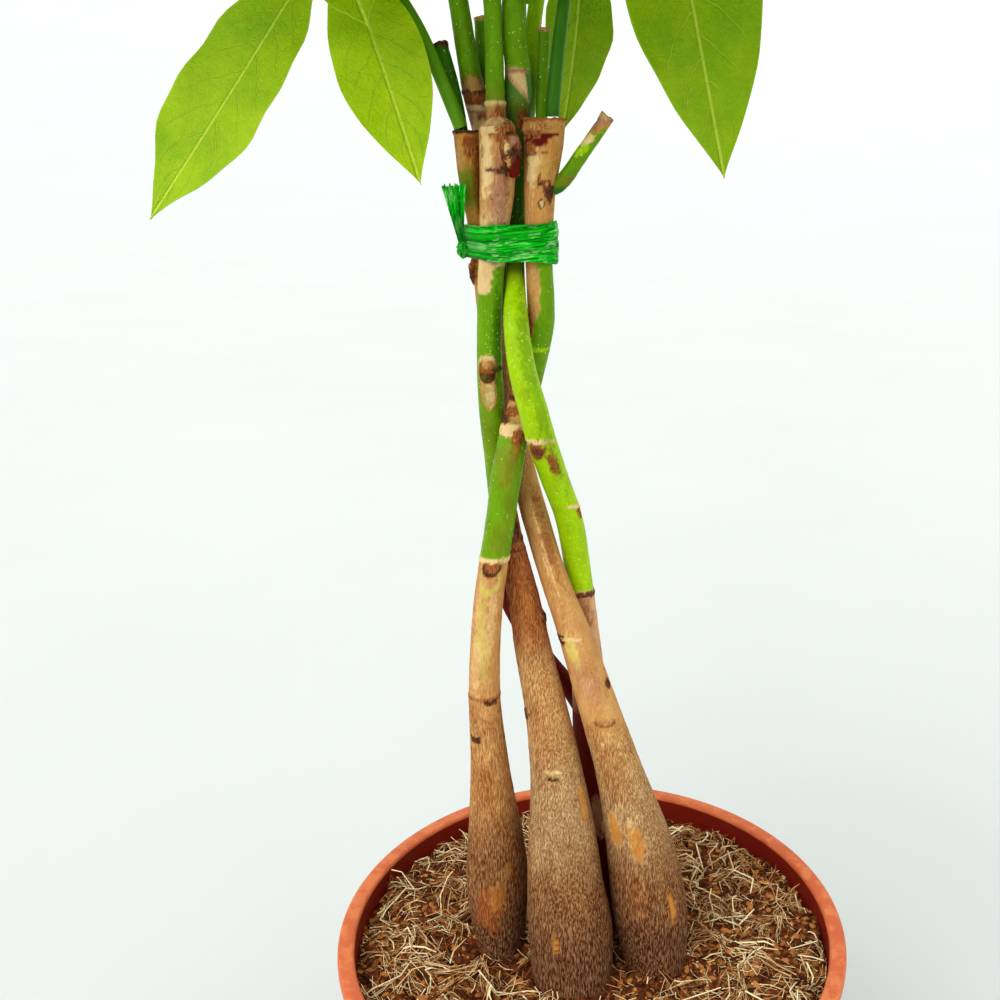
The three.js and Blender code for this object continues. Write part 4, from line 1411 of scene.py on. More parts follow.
def make_stems() -> list[Stem]:
    """Lists the five stems with their stations, bark and branches."""
    main = {"level": True, "sides": 72, "spacing": 0.6}
    t, moon, ring, wedge = Tint, Shape.MOON, Shape.RING, Shape.WEDGE
    a = Limb(
        stations=[
            (-34, -31, -4, 5), (-8, -31, -4, 7.6), (10, -31.5, -4, 9.8), (22, -31.5, -4, 10.1),
            (36, -31.5, -5, 9), (52, -32, -7, 7.2), (70, -32.5, -9, 5.7), (92, -33, -11.5, 4.8),
            (120, -31, -13.5, 4.4), (148, -26.5, -14.5, 4.3), (164, -24, -14, 4.4),
            (176, -21.5, -10, 4.1), (188, -18, -5.5, 4), (204, -14.5, -5, 3.9),
            (224, -14.6, -7.8, 3.7), (240, -14, -8.5, 4.3), (250, -13, -9, 5.2),
            (258, -12.5, -9, 5.6),
        ],
        # the lowest band is painted shade at the soil line
        bands=many(Band, [
            (-40, t.SOIL_LINE_SHADE), (13, t.FOOT, 8), (44, t.WARM, 14), (90, t.TAN, 8), (137, t.GREEN),
            (174, t.TAN), (182, t.PINK), (187, t.GREEN), (222, t.TAN),
        ]),
        marks=many(Mark, [
            (t.RUST, 12, -105, 8, 5, 0, 0.6), (t.ORANGE, 19, -85, 6, 2.6, 0.1, 0.5, 0.6),
            (t.ORANGE, 28, -62, 3, 1.3, 0, 0.5, 0.6), (t.YELLOW, 106, -88, 8, 1.8, 0, 0.5, 0.7),
            (t.CREAM, 118, -70, 10, 1.4, 0, 0.8, 0.5), (t.CREAM, 108, -120, 16, 1.8, 0, 0.8, 0.5),
            (t.YELLOW, 130.5, -93, 5, 3.4, 0.15, 0.15), (t.TAN, 131.5, -93, 3.4, 2.5, 0.1, 0.2),
            (t.YELLOW, 118, -110, 9, 1.4, 0, 0.6, 0.8),
            (t.CREAM, 136.6, -90, 0.9, 9, 0.3, 0.2, 1, ring),
            (t.SCAR, 134.5, -94, 2.7, 2.8, 0.2, 0.12, 1, moon),
            (t.RUST, 135.3, -94, 2.1, 2.2, 0, 0.2, 1, moon),
            (t.RUST, 91, -90, 0.6, 9, 0.2, 0.4, 0.7, ring),
            (t.SCAR, 90, -62, 2.2, 2.3, 0.25, 0.25, 1, moon), (t.TAN, 86.5, -66, 3, 2.4, 0.1, 0.4),
            (t.SCAR, 77, -128, 1.8, 2.2, 0.25, 0.25, 1, moon),
            (t.RUST, 60, -95, 9, 2.2, 0, 0.8, 0.6), (t.RUST, 163, -86, 4, 1.1, 0, 0.9, 0.5),
            (t.RUST, 169, -70, 3, 1.6, 0.2, 0.6, 0.8), (t.OLIVE, 143, -100, 5, 2.6, 0, 0.9, 0.6),
            (t.OLIVE, 168, -105, 7, 4, 0, 0.9, 0.7), (t.OLIVE, 152, -60, 14, 1.4, 0, 0.9, 0.6),
            (t.TAN, 214, -140, 13, 3.4, 0.05, 0.25), (t.RUST, 202, -140, 4.5, 1.6, 0.1, 0.7),
            (t.ORANGE, 189, -118, 7, 2.2, 0, 0.4), (t.GREEN, 197.5, -110, 1.1, 6, 0, 0.2),
            (t.LIME, 196.5, -95, 0.7, 6, 0.1, 0.2),
            (t.CREAM, 174.6, -105, 1.5, 9, 0.35, 0.4, 1, ring),
            (t.RUST, 172.8, -70, 2.4, 1.8, 0.3, 0.5), (t.SCAR, 178, -150, 2, 2, 0.6, 0.5),
            (t.RUST, 179.6, -105, 1.2, 3.6, 0.3, 0.5),
            (t.PURPLE, 183, -90, 0.7, 9, 0.2, 0.4, 1, ring), (t.CREAM, 246, -118, 6, 1.8, 0.1, 0.4),
            (t.ORANGE, 250, -58, 8, 3.4, 0, 0.8, 0.7), (t.ORANGE, 236, -70, 6, 3.4, 0, 0.8, 0.5),
            (t.WARM, 255.6, -128, 2, 4.6, 1, 0.45), (t.MAROON_SCAR_AND_SHADE, 252.2, -116, 1.3, 3.8, 0.2, 0.3),
            (t.RUST, 254.4, -118, 0.8, 2.6, 0.5, 0.6),
            (t.MAROON_SCAR_AND_SHADE, 253.2, -84, 0.9, 2.8, 0.2, 0.15, 1, wedge, -0.6),
            (t.RUST, 250.2, -128, 2, 1.6, 0.5, 0.6), (t.RUST, 249.5, -82, 0.4, 1),
            (t.YELLOW, 245, -86, 3.4, 1.9, 0.1, 0.3, 0.35), (t.RUST, 243.2, -93, 1.4, 0.35, 0, 0.5),
            (t.RUST, 242, -80, 0.35, 1.3, 0, 0.5), (t.SCAR, 239.4, -48, 2.6, 1.5, 0.3, 0.4),
            (t.PURPLE, 239.6, -68, 1.2, 1.2, 0.2, 0.4, 1, wedge),
            (t.SCAR, 241.4, -84, 0.6, 1.6, 0.15, 0.3, 1, wedge),
            (t.SCAR, 236.4, -80, 1.15, 0.95, 0.1, 0.25),
            (t.CREAM, 236.4, -80, 0.75, 0.6, 0.2, 0.25),
            (t.CREAM, 227.5, -112, 2.4, 1.8, 0.05, 0.3),
        ]),
        rim=t.RUST,
        **main,
    )
    b = Limb(
        stations=[
            (-34, -7, -19, 8), (-8, -6.5, -19, 12.6), (12, -7, -18.5, 13.5), (28, -8.5, -18, 12.1),
            (46, -9.5, -15.5, 10.4), (64, -11, -13, 8.3), (84, -14, -10, 6.7),
            (104, -18, -7.5, 5.7), (124, -21.5, -5.5, 4.7), (142, -25.5, -4.5, 4.1),
            (160, -27.5, -4, 3.8), (184, -29, -6.5, 3.7), (208, -28.5, -8, 3.5),
            (226, -27, -8.7, 3.8), (240, -25.5, -9.5, 4.7), (256, -25, -10, 4.9),
        ],
        # the lowest band is painted shade at the soil line
        bands=many(Band, [
            (-40, t.SOIL_LINE_SHADE), (20, t.FOOT, 15), (40, t.GREY, 15), (70, t.BARK, 12), (106, t.RUST, 7),
            (150, t.GREEN), (219, t.CREAM), (234, t.TAN, 4),
        ]),
        marks=many(Mark, [
            (t.ORANGE, 57, -33, 6, 1.5, 0.05, 0.5), (t.CREAM, 68.6, -95, 0.9, 3, 0.25, 0.3),
            (t.OLIVE, 67.4, -95, 0.7, 2.2, 0.2, 0.3, 0.5), (t.SCAR, 66.4, -95, 0.45, 2.6, 0, 0.3),
            (t.SCAR, 114.8, -16, 2.2, 1.5, 0.9, 0.4), (t.SCAR, 143.5, -52, 2.4, 2.4, 0.5, 0.5),
            (t.PURPLE, 139.6, -70, 0.7, 9, 0.25, 0.3, 1, ring),
            (t.PURPLE, 136.4, -70, 0.4, 9, 0.15, 0.4, 1, ring),
            (t.ORANGE, 121, -75, 8, 2.2, 0, 0.8, 0.25), (t.TAN, 112, -100, 6, 1.6, 0, 0.8, 0.4),
            (t.WARM, 92, -70, 9, 2.2, 0, 0.9, 0.7), (t.SCAR, 85, -152, 2, 1.2, 0.5, 0.4),
            (t.SCAR, 120, -158, 1.6, 1.2, 0.5, 0.4), (t.ORANGE, 14, -108, 3, 0.9, 0, 0.6),
            (t.RUST, 78, -108, 10, 2.6, 0, 0.9, 0.5), (t.OLIVE, 184.6, -94, 5.6, 3, 0.05, 0.1),
            (t.TAN, 184.8, -94, 5.2, 2.6, 0.1, 0.1), (t.CREAM, 183.6, -90, 3.8, 1.4, 0, 0.25, 0.8),
            (t.TAN, 191.4, -97, 4.2, 3.1, 0.7, 0.12), (t.CREAM, 194.2, -97, 1.1, 2.4, 0.2, 0.25),
            (t.RUST, 190.8, -97, 3.3, 2.5, 0.1, 0.12),
            (t.SCAR, 189.4, -97, 2.2, 2.1, -0.1, 0.12, 1, moon),
            (t.TAN, 192.8, -99, 1, 1.2, 0.3, 0.3), (t.SCAR, 191.2, -45, 0.7, 2.6, 0.1, 0.3),
            (t.CREAM, 217, -124, 5, 2.8, 0, 0.3), (t.OLIVE, 175, -110, 14, 1.8, 0, 0.9, 0.5),
            (t.DEEP, 200, -50, 18, 1.2, 0, 0.8, 0.6), (t.PURPLE, 240, -62, 10, 1.3, 0, 0.9, 0.6),
            (t.PINK, 236, -78, 13, 2.4, 0, 0.7, 0.7), (t.CREAM, 247, -128, 9, 2.2, 0.1, 0.4),
            (t.PURPLE, 245.3, -95, 0.45, 2.6, 0.1, 0.6), (t.SCAR, 245, -62, 1.2, 1.9, 0.4, 0.5),
            (t.RUST, 254.5, -70, 2, 3.4, 0.6, 0.5), (t.CREAM, 255.5, -118, 1.6, 3, 0.3, 0.4),
            (t.BARK, 249.6, -140, 1.6, 0.6, 0.1, 0.5), (t.BARK, 233, -130, 0.7, 0.4, 0.05, 0.5),
        ]),
        dome=2.6,
        top=t.CUT,
        **main,
    )
    c = Limb(
        stations=[
            (-34, 22, -12, 6), (-8, 21, -12, 10), (12, 19, -12, 12.2), (26, 17.3, -12, 11.8),
            (44, 14, -12, 10.1), (64, 8.7, -11.5, 7.7), (86, 2, -10, 6.4), (110, -5.5, -7.5, 5.2),
            (128, -12, -5, 4.3), (146, -17.5, -0.5, 4.1), (164, -22.3, 3.2, 3.9),
            (186, -27, 3.2, 3.8), (210, -29.8, 0.5, 3.4), (226, -30.8, -2, 3),
            (240, -33, -3.5, 3.1), (255, -33.7, -5, 3.6),
        ],
        # the lowest band is painted shade at the soil line
        bands=many(Band, [
            (-40, t.SOIL_LINE_SHADE), (20, t.FOOT, 14), (40, t.GREY, 14), (62, t.BARK, 12), (80, t.TAN, 6),
            (160, t.WARM, 6), (206, t.ORANGE, 2), (234, t.OLIVE, 3), (246, t.ORANGE, 2),
        ]),
        marks=many(Mark, [
            (t.SCAR, 109.4, -132, 2.6, 2.4, 0.5, 0.3, 1, moon),
            (t.YELLOW, 105, -112, 5, 2, 0.1, 0.4), (t.CREAM, 109.4, -100, 0.6, 3, 0.3, 0.5, 0.7),
            (t.PINK, 97, -92, 7, 3.6, 0, 0.8, 0.5), (t.SCAR, 94.6, -26, 1.6, 1.4, 0.6, 0.4),
            (t.SCAR, 83.6, -79, 1.7, 3.2, 0.3, 0.2, 0.6, moon),
            (t.WARM, 84, -79, 1.1, 2.6, 0.1, 0.2, 1, moon), (t.RUST, 66, -95, 8, 4, 0, 0.9, 0.45),
            (t.CREAM, 48, -128, 6, 3.2, 0.1, 0.35, 0.5), (t.ORANGE, 48, -127, 4.8, 2.2, 0, 0.4),
            (t.CREAM, 45, -90, 7, 2.8, 0.15, 0.5, 0.6), (t.ORANGE, 44.4, -90, 6, 2.3, 0.1, 0.5),
            (t.ORANGE, 21, -52, 6, 1.4, 0.05, 0.6), (t.RUST, 25, -105, 7, 2.6, 0, 0.9, 0.6),
            (t.CREAM, 136, -85, 13, 0.35, 0.05, 0.5), (t.CREAM, 130, -98, 6, 0.3, 0.05, 0.5),
            (t.TAN, 128, -120, 10, 1.6, 0, 0.7), (t.RUST, 140, -60, 12, 1.4, 0, 0.8, 0.5),
            (t.SCAR, 217.5, -158, 3.2, 1.6, 1.2, 0.5), (t.RUST, 220, -150, 2, 1.6, 0.4, 0.5),
            (t.RUST, 251, -80, 2.4, 1.6, 0.1, 0.6), (t.RUST, 240, -45, 12, 1.3, 0, 0.7, 0.7),
            (t.TAN, 249, -130, 3.5, 1.4, 0, 0.5),
        ]),
        rim=t.SCAR,
        **main,
    )
    d = Limb(
        stations=[
            (-34, 4, 10, 6), (-8, 3.5, 9.5, 9.6), (14, 3.5, 9.5, 10.2), (32, 3, 9.5, 9.4),
            (52, 2, 9.5, 8.2), (78, -0.5, 8, 6), (100, -2, 6, 4.8), (118, -3.5, 3.2, 4.2),
            (132, -5, 0, 4.1), (146, -7, -5, 4.2), (160, -11, -10.5, 4.3), (172, -14.2, -15.5, 4.3),
            (182, -16.5, -18.2, 4.2), (194, -19.5, -16.5, 3.8), (206, -21, -12.5, 3.4),
            (216, -21.3, -6.2, 2.6), (226, -21.4, -1.5, 2.6), (240, -20.6, 0, 3),
            (256, -20, -1, 3.3), (263, -19.9, -3.4, 4), (270, -19.6, -4, 3.5),
            (288, -20.2, -4.5, 3.2), (340, -15, -4, 2.8), (400, -12, -1, 2.3), (436, -12, 3, 1.6),
        ],
        # the maroon length at the foot is painted shade, where the stem stands behind the others
        bands=many(Band, [
            (-40, t.MAROON_SCAR_AND_SHADE), (80, t.CUT, 6), (120, t.LIME), (217, t.OLIVE, 4), (222, t.DEEP, 4),
            (252, t.TEAL, 4), (269.5, t.GREEN, 0.8),
        ]),
        marks=many(Mark, [
            (t.PINK, 39, -94, 7, 2.6, 0.5, 0.5), (t.CREAM, 36, -80, 3, 1.4, 0.3),
            (t.RUST, 112, -90, 6, 3, 0.1, 0.7, 0.5), (t.PURPLE, 119, -85, 1, 9, 0.3, 0.5, 1, ring),
            (t.RUST, 148.6, -32, 2.6, 1.7, 0.6, 0.4, 1, wedge),
            (t.CREAM, 150.6, -44, 0.7, 2.6, 0.35, 0.3), (t.RUST, 170, -118, 3, 2.6, 0.5, 0.6),
            (t.RUST, 166, -66, 4.4, 1.5, 0.3, 0.7), (t.CREAM, 172.6, -95, 0.7, 5.4, 0.4, 0.5),
            (t.PURPLE, 169.5, -110, 1.6, 1.6, 0.3, 0.6),
            (t.CUT, 266.3, -76, 4.5, 3.6, 0.15, 0.1, 1, wedge, 0.75),
            (t.CREAM, 266.8, -72, 3.2, 2.6, 0.05, 0.15, 1, wedge, 0.75),
            (t.PINK, 269.8, -84, 0.5, 3.6, 0.25, 0.4), (t.OLIVE, 260, -90, 3, 4, 0, 0.9, 0.5),
            (t.GREEN, 190, -55, 26, 1.8, 0, 0.8, 0.6), (t.OLIVE, 186, -100, 3, 1.6, 0, 0.9, 0.35),
            (t.RUST, 258, -70, 3, 1.4, 0.1, 0.7),
        ]),
        **main,
    )
    e = Limb(
        stations=[
            (-34, 22, 20, 5), (-6, 22, 19, 8.8), (14, 20.5, 19.5, 8.8), (34, 14, 22.5, 7.4),
            (50, 7, 23.5, 5.5), (64, 0, 21.8, 4.4), (80, -8, 16.2, 3.7), (96, -17.5, 10.5, 3.4),
            (112, -25.5, 8.5, 3.3), (130, -29.5, 7, 3.2), (150, -28, 9.5, 3.3),
            (166, -25.5, 13, 3.5), (182, -24, 12, 3.4), (200, -23.5, 7.8, 3.2),
            (222, -24.6, 5.6, 3.1), (240, -27, 4.5, 3.1), (256, -29.8, 2, 3.3),
            (264, -31.5, 0.5, 3.4), (272, -33, -0.5, 2.9), (290, -35.5, -1.5, 2.6),
            (330, -42, 4, 2.3), (368, -48, 6, 1.6),
        ],
        # the maroon length is painted shade, where the stem passes behind the others
        bands=many(Band, [
            (-40, t.FOOT), (40, t.MAROON_SCAR_AND_SHADE, 8), (128, t.BARK, 6), (150, t.GREEN), (240, t.PINK, 2),
            (267, t.OLIVE, 2), (270, t.GREEN, 2),
        ]),
        marks=many(Mark, [
            (t.RUST, 263, -95, 1.4, 3, 0.4, 0.5), (t.CREAM, 261, -100, 0.8, 2.6, 0.3, 0.4),
            (t.RUST, 258, -70, 1.2, 2, 0.3, 0.6), (t.CREAM, 254.5, -110, 4.2, 2.2, 0.2, 0.5),
            (t.PURPLE, 265, -80, 0.5, 9, 0.3, 0.5, 1, ring), (t.TAN, 267, -80, 2, 2, 0.1, 0.4),
            (t.RUST, 251, -80, 3, 1.2, 0.1, 0.7),
        ]),
        **main,
    )
    front = Limb(
        [
            (250, -25.3, -8.5, 2.9), (262, -25.5, -8.3, 2.6), (288, -25.8, -7.5, 2.3),
            (330, -27, -14, 2.2), (366, -30, -20, 1.9), (392, -31, -23, 1.4),
        ],
        many(Band, [(240, t.PINK), (261, t.OLIVE, 1.5), (264, t.GREEN, 3)]),
        many(Mark, [
            (t.TAN, 258, -95, 3, 2.4, 0.2, 0.5), (t.RUST, 258.5, -70, 2.4, 1.8, 0.4, 0.6),
            (t.CREAM, 261.8, -100, 0.5, 9, 0.35, 0.6, 1, ring),
            (t.SCAR, 256.5, -90, 0.8, 3, 0.3, 0.5),
        ]),
        lumps=0.15,
    )
    twin = Limb(
        [
            (254, -19, -1, 2), (264, -17, 2.5, 2.2), (288, -15, 6, 2.1), (324, -7, 14, 2),
            (350, 0, 20, 1.8), (370, 4, 23, 1.3),
        ],
        many(Band, [(240, t.DEEP), (256, t.GREEN, 4), (272, t.LIME, 6)]),
    )
    behind = Limb(
        [(252, -29, 2.5, 2), (264, -29.2, 4.5, 2.2), (284, -29.3, 4.5, 2.4)],
        many(Band, [(240, t.DEEP), (270, t.GREEN, 8)]),
        top=t.BARK,
        rim=t.BARK,
        dome=0.5,
    )
    side_stub = Limb(
        [(250, -34.5, -3.6, 1.8), (264, -37, -2.6, 2), (277, -40.5, -1.6, 2.1)],
        many(Band, [(240, t.DEEP)]),
        top=t.SCAR,
        rim=t.SCAR,
        dome=0.7,
    )
    thin_stub = Limb(
        [(250, -14, -6, 1.6), (264, -13.4, -1.5, 1.6), (281, -12.8, 0, 1.6)],
        many(Band, [(240, t.GREEN)]),
        rim=t.PINK,
    )
    twig = Limb(
        [
            (240, -12.5, -8.5, 1.6), (241.5, -8.5, -9.5, 2), (250, -2, -11, 1.9),
            (258.5, 4.2, -12, 1.8),
        ],
        many(Band, [(230, t.DEEP), (243, t.GREEN, 4), (255.3, t.ORANGE), (256.6, t.PINK)]),
        many(Mark, [
            (t.CREAM, 252.6, -120, 1.5, 1.3, 0.1, 0.3), (t.LIME, 250, -110, 1.4, 1.2, 0, 0.5),
            (t.OLIVE, 242.5, -60, 1.6, 2.4, 0.2, 0.5),
        ]),
        top=t.CREAM,
        rim=t.CUT,
        spacing=0.4,
    )
    knob = Limb(
        [
            (243.4, -20.8, -12.2, 1.2), (247.4, -20.6, -13, 2.5), (252, -21.4, -13.2, 2.5),
            (257, -22.6, -12.2, 1.3),
        ],
        many(Band, [(230, t.MAROON_SCAR_AND_SHADE), (247, t.PURPLE, 1.5), (251, t.RUST, 2)]),
        many(Mark, [
            (t.CREAM, 250.5, -110, 1.6, 0.8, 0.4, 0.6), (t.SCAR, 249, -75, 1.4, 2.2, -0.5, 0.6),
            (t.PINK, 252.6, -60, 0.9, 1.6, 0.5, 0.6), (t.SCAR, 254.4, -95, 0.7, 1.8, -0.3, 0.6),
            (t.MAROON_SCAR_AND_SHADE, 246, -50, 2.4, 1.4, 0.4, 0.5), (t.TAN, 247, -120, 1.2, 0.7, 0.3, 0.6),
        ]),
        spacing=0.3,
        top=t.SCAR,
        lumps=1.1,
    )
    return [
        Stem("stem_a", [a, thin_stub, twig]),
        Stem("stem_b", [b, front, knob]),
        Stem("stem_c", [c, side_stub]),
        Stem("stem_d", [d, twin], Slot.GREEN_BARK),
        Stem("stem_e", [e, behind]),
    ]


@dataclass(frozen=True)
class Leaflet:
    """A leaflet's tip, with its twist in degrees and its sideways bow in millimetres."""

    tip: Point
    turn: float = 0.0
    bow: float = 0.0
    # added to the leaf's darkening, which is partly painted shade; below zero for a leaflet shown
    # more lit
    tone: float = 0.0


@dataclass
class Blade:
    """The rule for a leaflet's blade."""

    slimness: float = 0.35
    fold: float = 0.16
    wave: float = 0.09
    wave_length: float = 0.25
    arch: float = 0.05
    quilt: float = 0.35
    frill: float = 0.45
    frills: float = 5.5
    relief_half: float = 8.0
    root: float = 1.6
    root_half: float = 0.8
    tip_half: float = 0.12
    rise: float = 1.5
    fall: float = 1.25
    thickness: float = 0.5
    rows: int = 38
    columns: int = 15
    row_crowding: float = 0.94
    column_crowding: float = 0.96
    map_size: float = 100.0

    def outline(self, t: np.ndarray) -> np.ndarray:
        """Half width along the rib, as a share of the widest."""
        widest = self.rise / (self.rise + self.fall)
        return (t / widest) ** self.rise * ((1 - t) / (1 - widest)) ** self.fall

    def chart(self, across: np.ndarray, along: np.ndarray) -> np.ndarray:
        """Texture places for the front and the back."""
        places = np.stack(np.broadcast_arrays(across, along), -1).reshape(-1, 2)
        return np.vstack([places, places])

    def add_to(
        self, draft: Draft, hub: Vector, leaflet: Leaflet, facing: Vector, tone: float
    ) -> None:
        """Adds a blade as a thin closed solid.

        Args:
            draft: The mesh in the making.
            hub: Where the leaflets meet.
            leaflet: The leaflet.
            facing: The way that its upper face looks.
            tone: How far its green is darkened, partly as a tone of its own and partly as painted
                shade.
        """
        tip = place(*leaflet.tip)
        along = (tip - hub).normalized()
        root = hub + along * self.root
        length = (tip - root).length
        leftward = facing.cross(along).normalized()
        leftward = Matrix.Rotation(math.radians(leaflet.turn), 3, along) @ leftward
        upward = along.cross(leftward)
        crowd, bunch = self.row_crowding, self.column_crowding
        t = 1 - np.cos(np.pi * np.linspace(0, 1, self.rows) * crowd)
        t = (t / (1 - math.cos(np.pi * crowd)))[:, None]
        s = np.sin(np.linspace(-1, 1, self.columns) * np.pi / 2 * bunch)
        s = (s / math.sin(np.pi / 2 * bunch))[None, :]
        half = 0.5 * self.slimness * length * self.outline(t)
        half = np.maximum(half, np.where(t < 0.5, self.root_half, self.tip_half))
        size = np.abs(s)
        bulge = (4 * t * (1 - t)).ravel()
        sway = self.wave * np.cos(np.pi * t / self.wave_length)
        lift = half * (self.fold * size**VEIN_CURVE + sway * s * size)
        run = (t - VEIN_SWEEP * size**VEIN_CURVE) * VEIN_PAIRS + 0.5 * (s > 0)
        full = np.minimum(half / self.relief_half, 1)
        lift += self.quilt * np.sin(np.pi * run) ** 2 * size * (1 - size) * 4 * full
        lift += self.frill * np.sin(2 * np.pi * self.frills * t + 3 * tone) * size**4 * full
        along, leftward, upward, root = (np.array(v) for v in (along, leftward, upward, root))
        rib = root + np.outer(t * length, along) + np.outer(self.arch * length * bulge, upward)
        rib += np.outer(leaflet.bow * bulge, leftward)
        across = half * s
        upper = rib[:, None] + across[..., None] * leftward + lift[..., None] * upward
        upper = upper.reshape(-1, 3)
        thin = self.thickness * np.clip(1.4 - size, 0.35, 1) * np.ones((self.rows, 1))
        points = np.vstack([upper, upper - thin.reshape(-1, 1) * upward])
        draft.add(
            points,
            sheet_faces(self.rows, self.columns, flip=True),
            Fan=self.chart(0.5 + 0.5 * s, t),
            Real=self.chart(0.5 + across / self.map_size, t * length / self.map_size),
            Tone=np.full(len(points), tone),
            Under=np.repeat([0, 1], len(upper)),
        )


@dataclass
class Leaf:
    """A palmate leaf: stalk, hub and leaflets."""

    node: str
    stalk: list[Station]
    hub: Point
    facing: Vector
    leaflets: list[Leaflet]
    # how far the blades are darkened: partly the leaf's own tone, partly painted shade
    tone: float = 0.3
    stalk_tone: float = 0.2
    hub_radius: float = 2.6
    hub_flatness: float = 0.85
    stalk_end: float = 1.3
    stalk_spacing: float = 2.5
    stalk_sides: int = 14
    swell: float = 0.8
    swell_reach: float = 4.0

    def add_stalk(self, draft: Draft) -> None:
        """Adds the stalk, a little swollen where it meets the hub."""
        stations = [*self.stalk, (*self.hub, self.stalk_end)]
        centres, radii = read_path(stations, self.stalk_spacing, 3)
        along = unit_rows(np.gradient(centres, axis=0))
        side = unit_rows(np.cross(along, ACROSS_STALKS))
        far = np.linalg.norm(centres - centres[-1], axis=1)
        radii = radii + self.swell * np.exp(-((far / self.swell_reach) ** 2))
        sides = self.stalk_sides
        points, _ = tube_points(centres, radii, side, np.cross(along, side), sides)
        tone = np.repeat(self.stalk_tone + 0.15 * np.linspace(1, -1, len(radii)), sides)
        self.add_plain(draft, points, tube_faces(len(radii), sides), tone)

    def add_hub(self, draft: Draft) -> None:
        """Adds the knob where the leaflets meet."""
        points, faces = ball(3, self.hub_radius)
        points = points * np.array([1, 1, self.hub_flatness]) + np.array(place(*self.hub))
        self.add_plain(draft, points, faces, np.full(len(points), self.stalk_tone))

    def add_plain(self, draft: Draft, points: np.ndarray, faces: Faces, tone: np.ndarray) -> None:
        """Adds a shell with the stalk's finish."""
        blank = np.zeros((len(points), 2))
        under = np.zeros(len(points))
        draft.add(points, faces, 1, Fan=blank, Real=blank, Tone=tone, Under=under)

    def build(self, finishes: Finishes, blade: Blade) -> Object:
        """Makes the leaf.

        Args:
            finishes: The materials.
            blade: The rule for its blades.

        Returns:
            The leaf.
        """
        draft = Draft()
        self.add_stalk(draft)
        self.add_hub(draft)
        hub = place(*self.hub)
        for leaflet in self.leaflets:
            blade.add_to(draft, hub, leaflet, self.facing, max(self.tone + leaflet.tone, 0))
        piece = draft.build(self.node + "_grown", [finishes.blade, finishes.stalk])
        return dress(piece, Slot.LEAF, self.node)


@dataclass(frozen=True)
class Tier:
    """A tier of leaves: its rule, and each leaf's node, heading, lift, carrier and foot."""

    height: float
    reach: float
    tilt: float
    length: float
    spread: float
    leaves: tuple[tuple[str, float, float, str, float], ...]


